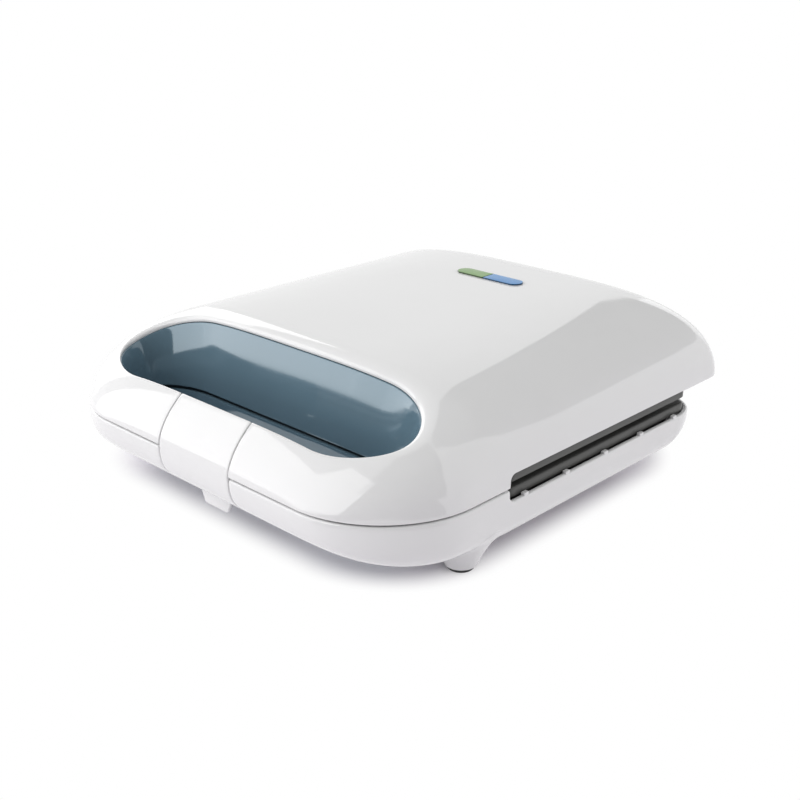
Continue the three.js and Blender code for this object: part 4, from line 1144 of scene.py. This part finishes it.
def plate_part(side, face, under, depth, slope):
    """A cooking plate: a face with pockets and screw seats, a rounded edge, a flange and a thicker body.

    The face and the back are the same grid, fitted to a rectangle with round corners. Rings join their edges.
    Each of the levels gives how far a ring is drawn in, and its height.
    """
    half_x, y0, y1 = 112.4, -52.1, 85.0
    body_inset, body_end, round_edge = 6.0, SEAM + side * 14.0, 0.6
    spacing = 0.7, 1.25, 7.0
    x = dense(-half_x, half_x, [0.0], *spacing)
    y = dense(y0, y1, SCREWS, *spacing)
    gx, gy = np.meshgrid(x, y)
    deep = plate_relief(gx, gy, depth, slope)
    middle_y, half_y, corner = (y0 + y1) / 2, (y1 - y0) / 2, 4.0

    def fitted(px, py, drawn):
        """Moves grid points on to a rectangle with round corners that is drawn in all round."""
        hx, hy = half_x - drawn, half_y - drawn
        u, v = px * hx / half_x, (py - middle_y) * hy / half_y
        r = max(corner - drawn, 0.3)
        cx, cy = np.clip(u, -(hx - r), hx - r), np.clip(v, -(hy - r), hy - r)
        ox, oy = u - cx, v - cy
        reach, size = np.maximum(np.abs(ox), np.abs(oy)), np.maximum(np.hypot(ox, oy), 1e-9)
        return cx + ox * reach / size, middle_y + cy + oy * reach / size

    rows, columns = gx.shape
    fx, fy = fitted(gx, gy, 1.0)
    top = np.stack([fx, fy, face + side * deep], -1).reshape(-1, 3)
    index = np.arange(rows * columns).reshape(rows, columns)
    loop = np.concatenate([index[0, :-1], index[:-1, -1], index[-1, :0:-1], index[:0:-1, 0]])
    bx, by = gx.ravel()[loop], gy.ravel()[loop]
    rings = []
    turn = np.linspace(0, math.pi / 2, 5)[1:]
    levels = [(1.0 - math.sin(w), face + side * (1 - math.cos(w))) for w in turn]
    levels += [
        (0.0, under - side * round_edge), (0.25, under - side * 0.12), (0.8, under),
        (body_inset - round_edge, under), (body_inset, under + side * round_edge),
        (body_inset, body_end - side * round_edge), (body_inset + round_edge, body_end),
    ]
    for drawn, z in levels:
        px, py = fitted(bx, by, drawn)
        rings.append(np.column_stack([px, py, np.full(len(px), z)]))
    kx, ky = fitted(gx, gy, body_inset + round_edge)
    back = np.stack([kx, ky, np.full(kx.shape, body_end)], -1).reshape(-1, 3)
    count = len(loop)
    start = rows * columns
    ids = [loop] + [start + k * count + np.arange(count) for k in range(len(rings) - 1)]
    back_start = start + (len(rings) - 1) * count
    ids.append(back_start + loop)
    strips = []
    for here, there in zip(ids[:-1], ids[1:]):
        a, b = here, np.roll(here, -1)
        c, d = there, np.roll(there, -1)
        strips.append(np.stack([a, c, d, b], 1))
    face_grid = grid_faces(rows, columns)
    points = np.concatenate([top, *rings[:-1], back])
    faces = np.concatenate([face_grid, *strips, face_grid[:, ::-1] + back_start])
    return outward(points, faces)


class OBJECT_OT_plates(bpy.types.Operator):
    """The two coated cooking plates with their three-cornered pockets"""

    bl_idname = "cooker.plates"
    bl_label = "Cooking plates"

    def execute(self, context):
        settings = context.scene.cooker_plates
        sizes = mm(settings.depth), mm(settings.slope)
        colour = tuple(settings.colour)
        material = finish("non_stick_coating", colour, shade(colour, 0.8), (0.3, 0.42), 2600.0, 0.00001)
        upper = plate_part(1, SEAM + 0.8, SEAM + 5.9, *sizes)
        put("upper_cooking_plate", upper, "lid", "upper_plate", material)
        lower = plate_part(-1, SEAM - 1.5, SEAM - 5.9, *sizes)
        put("lower_cooking_plate", lower, "base", "lower_plate", material)
        return {"FINISHED"}


# Profiles of (radius, distance): a foot from the table up, and the inlet's bush, a closed ring along Y.
FOOT_PROFILE = (
    (2.4, 0.5), (2.9, 0.35), (3.3, 0.05), (4.9, 0.0), (5.5, 0.15), (5.9, 0.6),
    (6.0, 1.2), (5.9, 2.5), (2.0, 2.6), (2.0, 7.2), (1.6, 7.6),
)
BUSH_PROFILE = (
    (3.3, 92.3), (3.3, 99.2), (3.8, 99.7), (6.6, 99.7), (7.3, 99.3), (7.5, 98.7),
    (7.3, 98.15), (5.5, 98.1), (5.5, 92.4), (5.2, 92.1), (3.6, 92.1),
)
INLET = (44, 24)


class OBJECT_OT_feet(bpy.types.Operator):
    """The four rubber feet and the rubber bush of the mains inlet"""

    bl_idname = "cooker.feet"
    bl_label = "Feet and bush"

    def execute(self, context):
        colour, dark = (0.022, 0.022, 0.023), (0.014, 0.014, 0.015)
        rubber = finish("black_rubber", colour, dark, (0.55, 0.72), 1500.0, 0.00002)
        for node, place_xy in FEET.items():
            put(node + "_pad", turned_profile(FOOT_PROFILE, place_xy, "z"), "base", node, rubber)
        bush = looped(turned_rings(BUSH_PROFILE, INLET, "y", 48))
        put("mains_bush", bush, "base", "cord_gland", rubber)
        return {"FINISHED"}


class OBJECT_OT_inner_finishes(bpy.types.Operator):
    """Finishes for the CAD solids that stay as they are: pins, elements, reflectors, lamps and fittings"""

    bl_idname = "cooker.inner_finishes"
    bl_label = "Inner finishes"

    def execute(self, context):
        steel = finish(
            "plated_steel", (0.56, 0.57, 0.58), (0.44, 0.45, 0.46), (0.2, 0.34), 900.0, 0.000004,
            metallic=1.0,
        )
        sheet = finish(
            "bright_sheet", (0.62, 0.63, 0.64), (0.5, 0.51, 0.52), (0.24, 0.4), 160.0, 0.000006,
            metallic=1.0, stretch=(1, 9, 9),
        )
        dark = finish(
            "oxidised_tube", (0.14, 0.13, 0.125), (0.08, 0.075, 0.07), (0.4, 0.58), 700.0, 0.00001,
            metallic=0.8,
        )
        ceramic = finish("white_ceramic", (0.72, 0.70, 0.66), (0.62, 0.6, 0.56), (0.45, 0.6), 900.0, 0.00001)
        board = finish("green_board", (0.06, 0.20, 0.09), (0.04, 0.14, 0.06), (0.3, 0.45), 500.0, 0.00001)
        lamp = finish("lamp_glass", (0.85, 0.60, 0.40), (0.75, 0.5, 0.32), (0.08, 0.14), 400.0, 0.000002)
        black = finish("black_fitting", (0.03, 0.03, 0.032), (0.02, 0.02, 0.021), (0.35, 0.5), 900.0, 0.00001)
        chosen = {
            "left_hinge_pin": steel, "right_hinge_pin": steel, "latch_pin": steel,
            "upper_plate_screw_front": steel, "upper_plate_screw_rear": steel,
            "lower_plate_screw_front": steel, "lower_plate_screw_rear": steel,
            "left_clamp_screw": steel, "right_clamp_screw": steel,
            "upper_reflector": sheet, "lower_reflector": sheet,
            "upper_element": dark, "lower_element": dark,
            "upper_left_terminal": ceramic, "upper_right_terminal": ceramic,
            "lower_left_terminal": ceramic, "lower_right_terminal": ceramic,
            "lamp_board": board, "power_lamp": lamp, "ready_lamp": lamp,
            "thermostat": black, "thermal_fuse": ceramic, "cord_clamp": black, "terminal_block": ceramic,
        }
        for node, material in chosen.items():
            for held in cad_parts[node].material_slots:
                held.material = material
        return {"FINISHED"}


# The stage

# Softboxes: name, direction in degrees from X, distance, height, (width, height) and power.
SOFTBOXES = (
    ("softbox_front", -106.5, 1.3, 1.2, (1.08, 2.4), 14.0),
    ("softbox_front_left", -142.8, 1.3, 0.60, (0.65, 1.2), 4.5),
    ("softbox_left", 172.0, 1.5, 0.75, (1.2, 1.2), 9.4),
    ("softbox_right", 41.5, 1.25, 0.50, (1.65, 0.72), 6.8),
    ("softbox_back", 95.0, 1.9, 0.8, (1.2, 0.9), 2.2),
    ("softbox_above", 90.0, 0.2, 1.5, (1.6, 1.6), 1.3),
)

# Black sheets that show only in reflections. Upright: name, direction, distance, lowest and highest z, width.
# Level: name, x from and to, y from and to, and z.
FLAGS = (
    ("flag_behind_camera", -38.0, 1.15, 0.0, 2.4, 2.35),
    ("flag_right", 84.0, 1.35, 0.73, 5.0, 1.75),
)
LEVEL_FLAGS = (
    ("flag_overhead", -0.1, 3.0, -2.4, 0.5, 2.4),
    ("flag_on_floor_right", 0.19, 1.3, -1.3, -0.065, 0.0004),
    ("flag_on_floor_front", 0.03, 0.19, -1.3, -0.21, 0.0004),
)

# The camera: its place in metres, the direction it stands in from the front, its height angle, and its lens.
CAMERA_PLACE = (0.37401, -0.38655, 0.24614)
CAMERA_AROUND = 43.929
CAMERA_ABOVE = 21.637
CAMERA_LENS = 51.934

# The floor's shadow: middle and half size of the core, and where it starts and ends to ease out beyond it.
SHADOW_MIDDLE = (-0.0135, 0.0085, 0.0)
SHADOW_HALF = (0.0615, 0.0585, 0.0)
SHADOW_EASE = (0.042, 0.062)


def area_light(name, place_at, target, size, power):
    """A rectangular light at a place, aimed at a target."""
    data = bpy.data.lights.new(name, "AREA")
    data.shape = "RECTANGLE"
    data.size, data.size_y = size
    data.energy = power
    lamp = linked(bpy.data.objects.new(name, data))
    lamp.location = place_at
    lamp.rotation_mode = "QUATERNION"
    lamp.rotation_quaternion = (Vector(target) - Vector(place_at)).to_track_quat("-Z", "Y")
    return lamp


def upright(around, away, low, high, width):
    """Corners of an upright sheet that faces the object from a direction and a distance."""
    turn = math.radians(around)
    out = np.array([math.cos(turn), math.sin(turn), 0.0])
    along = np.array([-out[1], out[0], 0.0])
    corners = ((-1, low), (-1, high), (1, high), (1, low))
    return [out * away + along * s * width / 2 + [0, 0, z] for s, z in corners]


def level(x0, x1, y0, y1, z):
    """Corners of a level sheet."""
    return [(x, y, z) for x, y in rectangle(x0, x1, y0, y1)]


def flat_sheet(name, corners, material):
    """A plain sheet of four corners that belongs to the stage."""
    mesh = bpy.data.meshes.new(name)
    mesh.from_pydata([tuple(c) for c in corners], [], [(0, 1, 2, 3)])
    mesh.materials.append(material)
    sheet = linked(bpy.data.objects.new(name, mesh))
    return sheet


def seen_rays(tree):
    """1 for camera, glossy and transmission rays, which see the background as it is, and 0 for others."""
    path = tree.nodes.new("ShaderNodeLightPath")
    total = path.outputs["Is Camera Ray"]
    for name in ("Is Glossy Ray", "Is Transmission Ray"):
        either = tree.nodes.new("ShaderNodeMath")
        either.operation = "MAXIMUM"
        tree.links.new(total, either.inputs[0])
        tree.links.new(path.outputs[name], either.inputs[1])
        total = either.outputs[0]
    return total


def mixed(tree, share, first, second):
    """Two shaders mixed by a share."""
    mix = tree.nodes.new("ShaderNodeMixShader")
    for source, socket in zip((share, first, second), mix.inputs):
        tree.links.new(source, socket)
    return mix.outputs[0]


def floor_finish(colour):
    """Pale floor. Where it is seen, the shadow keeps its shade near the object and then eases to white."""
    material, tree, shader = nodes_of("pale_floor")
    soft = noise(tree, 3.0, 2.0)
    tree.links.new(tinted(tree, soft, shade(colour, 0.99), colour), shader.inputs["Base Color"])
    shader.inputs["Roughness"].default_value = 0.9
    shader.inputs["Specular IOR Level"].default_value = 0.0
    white = tree.nodes.new("ShaderNodeEmission")
    where = tree.nodes.new("ShaderNodeTexCoord")
    vector = where.outputs["Object"]
    for operation, second in (
        ("SUBTRACT", SHADOW_MIDDLE), ("ABSOLUTE", None), ("SUBTRACT", SHADOW_HALF),
        ("MAXIMUM", (0.0, 0.0, 0.0)), ("LENGTH", None),
    ):
        step = tree.nodes.new("ShaderNodeVectorMath")
        step.operation = operation
        tree.links.new(vector, step.inputs[0])
        if second:
            step.inputs[1].default_value = second
        vector = step.outputs["Value" if operation == "LENGTH" else "Vector"]
    away = tree.nodes.new("ShaderNodeMapRange")
    away.interpolation_type = "SMOOTHSTEP"
    away.inputs["From Min"].default_value, away.inputs["From Max"].default_value = SHADOW_EASE
    tree.links.new(vector, away.inputs["Value"])
    near = mixed(tree, away.outputs["Result"], shader.outputs[0], white.outputs[0])
    surface = mixed(tree, seen_rays(tree), shader.outputs[0], near)
    tree.links.new(surface, tree.nodes["Material Output"].inputs["Surface"])
    return material


def studio_world(ambient):
    """A world that gives an even light of a strength, and that the camera and reflections see as white."""
    world = bpy.data.worlds.new("studio")
    world.use_nodes = True
    tree = world.node_tree
    ground = tree.nodes["Background"]
    ground.inputs["Color"].default_value = (1, 1, 1, 1)
    ground.inputs["Strength"].default_value = ambient
    white = tree.nodes.new("ShaderNodeBackground")
    white.inputs["Color"].default_value = (1, 1, 1, 1)
    surface = mixed(tree, seen_rays(tree), ground.outputs[0], white.outputs[0])
    tree.links.new(surface, tree.nodes["World Output"].inputs["Surface"])
    return world


def photo_camera():
    """A camera at the photograph's place and angle."""
    data = bpy.data.cameras.new("camera")
    data.lens, data.sensor_width = CAMERA_LENS, 36.0
    data.clip_start = 0.01
    around, above = math.radians(CAMERA_AROUND), math.radians(CAMERA_ABOVE)
    back = Vector((math.sin(around) * math.cos(above), -math.cos(around) * math.cos(above), math.sin(above)))
    right = Vector((math.cos(around), math.sin(around), 0.0))
    turn = Matrix((right, back.cross(right), back)).transposed().to_4x4()
    camera = linked(bpy.data.objects.new("camera", data))
    camera.matrix_world = Matrix.Translation(CAMERA_PLACE) @ turn
    return camera


class OBJECT_OT_stage(bpy.types.Operator):
    """Pale floor, soft studio light and the camera"""

    bl_idname = "cooker.stage"
    bl_label = "Stage, light and camera"

    def execute(self, context):
        settings = context.scene.cooker_stage
        flat_sheet("floor", level(-4.0, 4.0, -4.0, 4.0, 0.0), floor_finish(tuple(settings.floor)))
        context.scene.world = studio_world(settings.ambient)

        for name, around, away, height, size, power in SOFTBOXES:
            turn = math.radians(around)
            place_at = (away * math.cos(turn), away * math.sin(turn), height)
            lamp = area_light(name, place_at, (0, 0, height if away > 1 else 0), size, power * settings.light)
            # The right softbox would show in the lid as a second bright patch, so reflections don't see it.
            lamp.visible_glossy = name != "softbox_right"

        black = finish("black_cloth", (0.02, 0.02, 0.02), (0.015, 0.015, 0.015), (0.9, 0.95), 300.0, 0.0)
        sheets = [(name, upright(*sizes)) for name, *sizes in FLAGS]
        sheets += [(name, level(*sizes)) for name, *sizes in LEVEL_FLAGS]
        for name, corners in sheets:
            sheet = flat_sheet(name, corners, black)
            sheet.visible_camera = sheet.visible_diffuse = sheet.visible_shadow = False
            sheet.visible_transmission = sheet.visible_volume_scatter = False

        context.scene.camera = photo_camera()
        context.scene.view_settings.view_transform = "Standard"
        return {"FINISHED"}


OPERATORS = (
    OBJECT_OT_upper_casing,
    OBJECT_OT_lower_casing,
    OBJECT_OT_handle_liners,
    OBJECT_OT_latch,
    OBJECT_OT_lenses,
    OBJECT_OT_plates,
    OBJECT_OT_feet,
    OBJECT_OT_inner_finishes,
    OBJECT_OT_stage,
)


class VIEW3D_PT_cooker(bpy.types.Panel):
    """The sizes and colours, and one button for each operator"""

    bl_label = "Sandwich Maker"
    bl_space_type = "VIEW_3D"
    bl_region_type = "UI"
    bl_category = "Sandwich Maker"

    def draw(self, context):
        for name in ("cooker_casing", "cooker_lenses", "cooker_plates", "cooker_stage"):
            settings = getattr(context.scene, name)
            box = self.layout.box()
            for key in settings.bl_rna.properties.keys():
                if key not in ("rna_type", "name"):
                    box.prop(settings, key)
        for operator in OPERATORS:
            self.layout.operator(operator.bl_idname)


SETTINGS = {
    "cooker_casing": CasingSettings,
    "cooker_lenses": LensSettings,
    "cooker_plates": PlateSettings,
    "cooker_stage": StageSettings,
}


def register():
    """Registers the settings, the operators and the panel."""
    for name, group in SETTINGS.items():
        bpy.utils.register_class(group)
        setattr(bpy.types.Scene, name, PointerProperty(type=group))
    for operator in OPERATORS:
        bpy.utils.register_class(operator)
    bpy.utils.register_class(VIEW3D_PT_cooker)


def unregister():
    """Takes the panel, the operators and the settings away again."""
    bpy.utils.unregister_class(VIEW3D_PT_cooker)
    for operator in reversed(OPERATORS):
        bpy.utils.unregister_class(operator)
    for name, group in SETTINGS.items():
        delattr(bpy.types.Scene, name)
        bpy.utils.unregister_class(group)


def main():
    register()
    bpy.ops.cooker.upper_casing()
    bpy.ops.cooker.lower_casing()
    bpy.ops.cooker.handle_liners()
    bpy.ops.cooker.latch()
    bpy.ops.cooker.lenses()
    bpy.ops.cooker.plates()
    bpy.ops.cooker.feet()
    bpy.ops.cooker.inner_finishes()
    bpy.ops.cooker.stage()


if __name__ == "__main__":
    main()
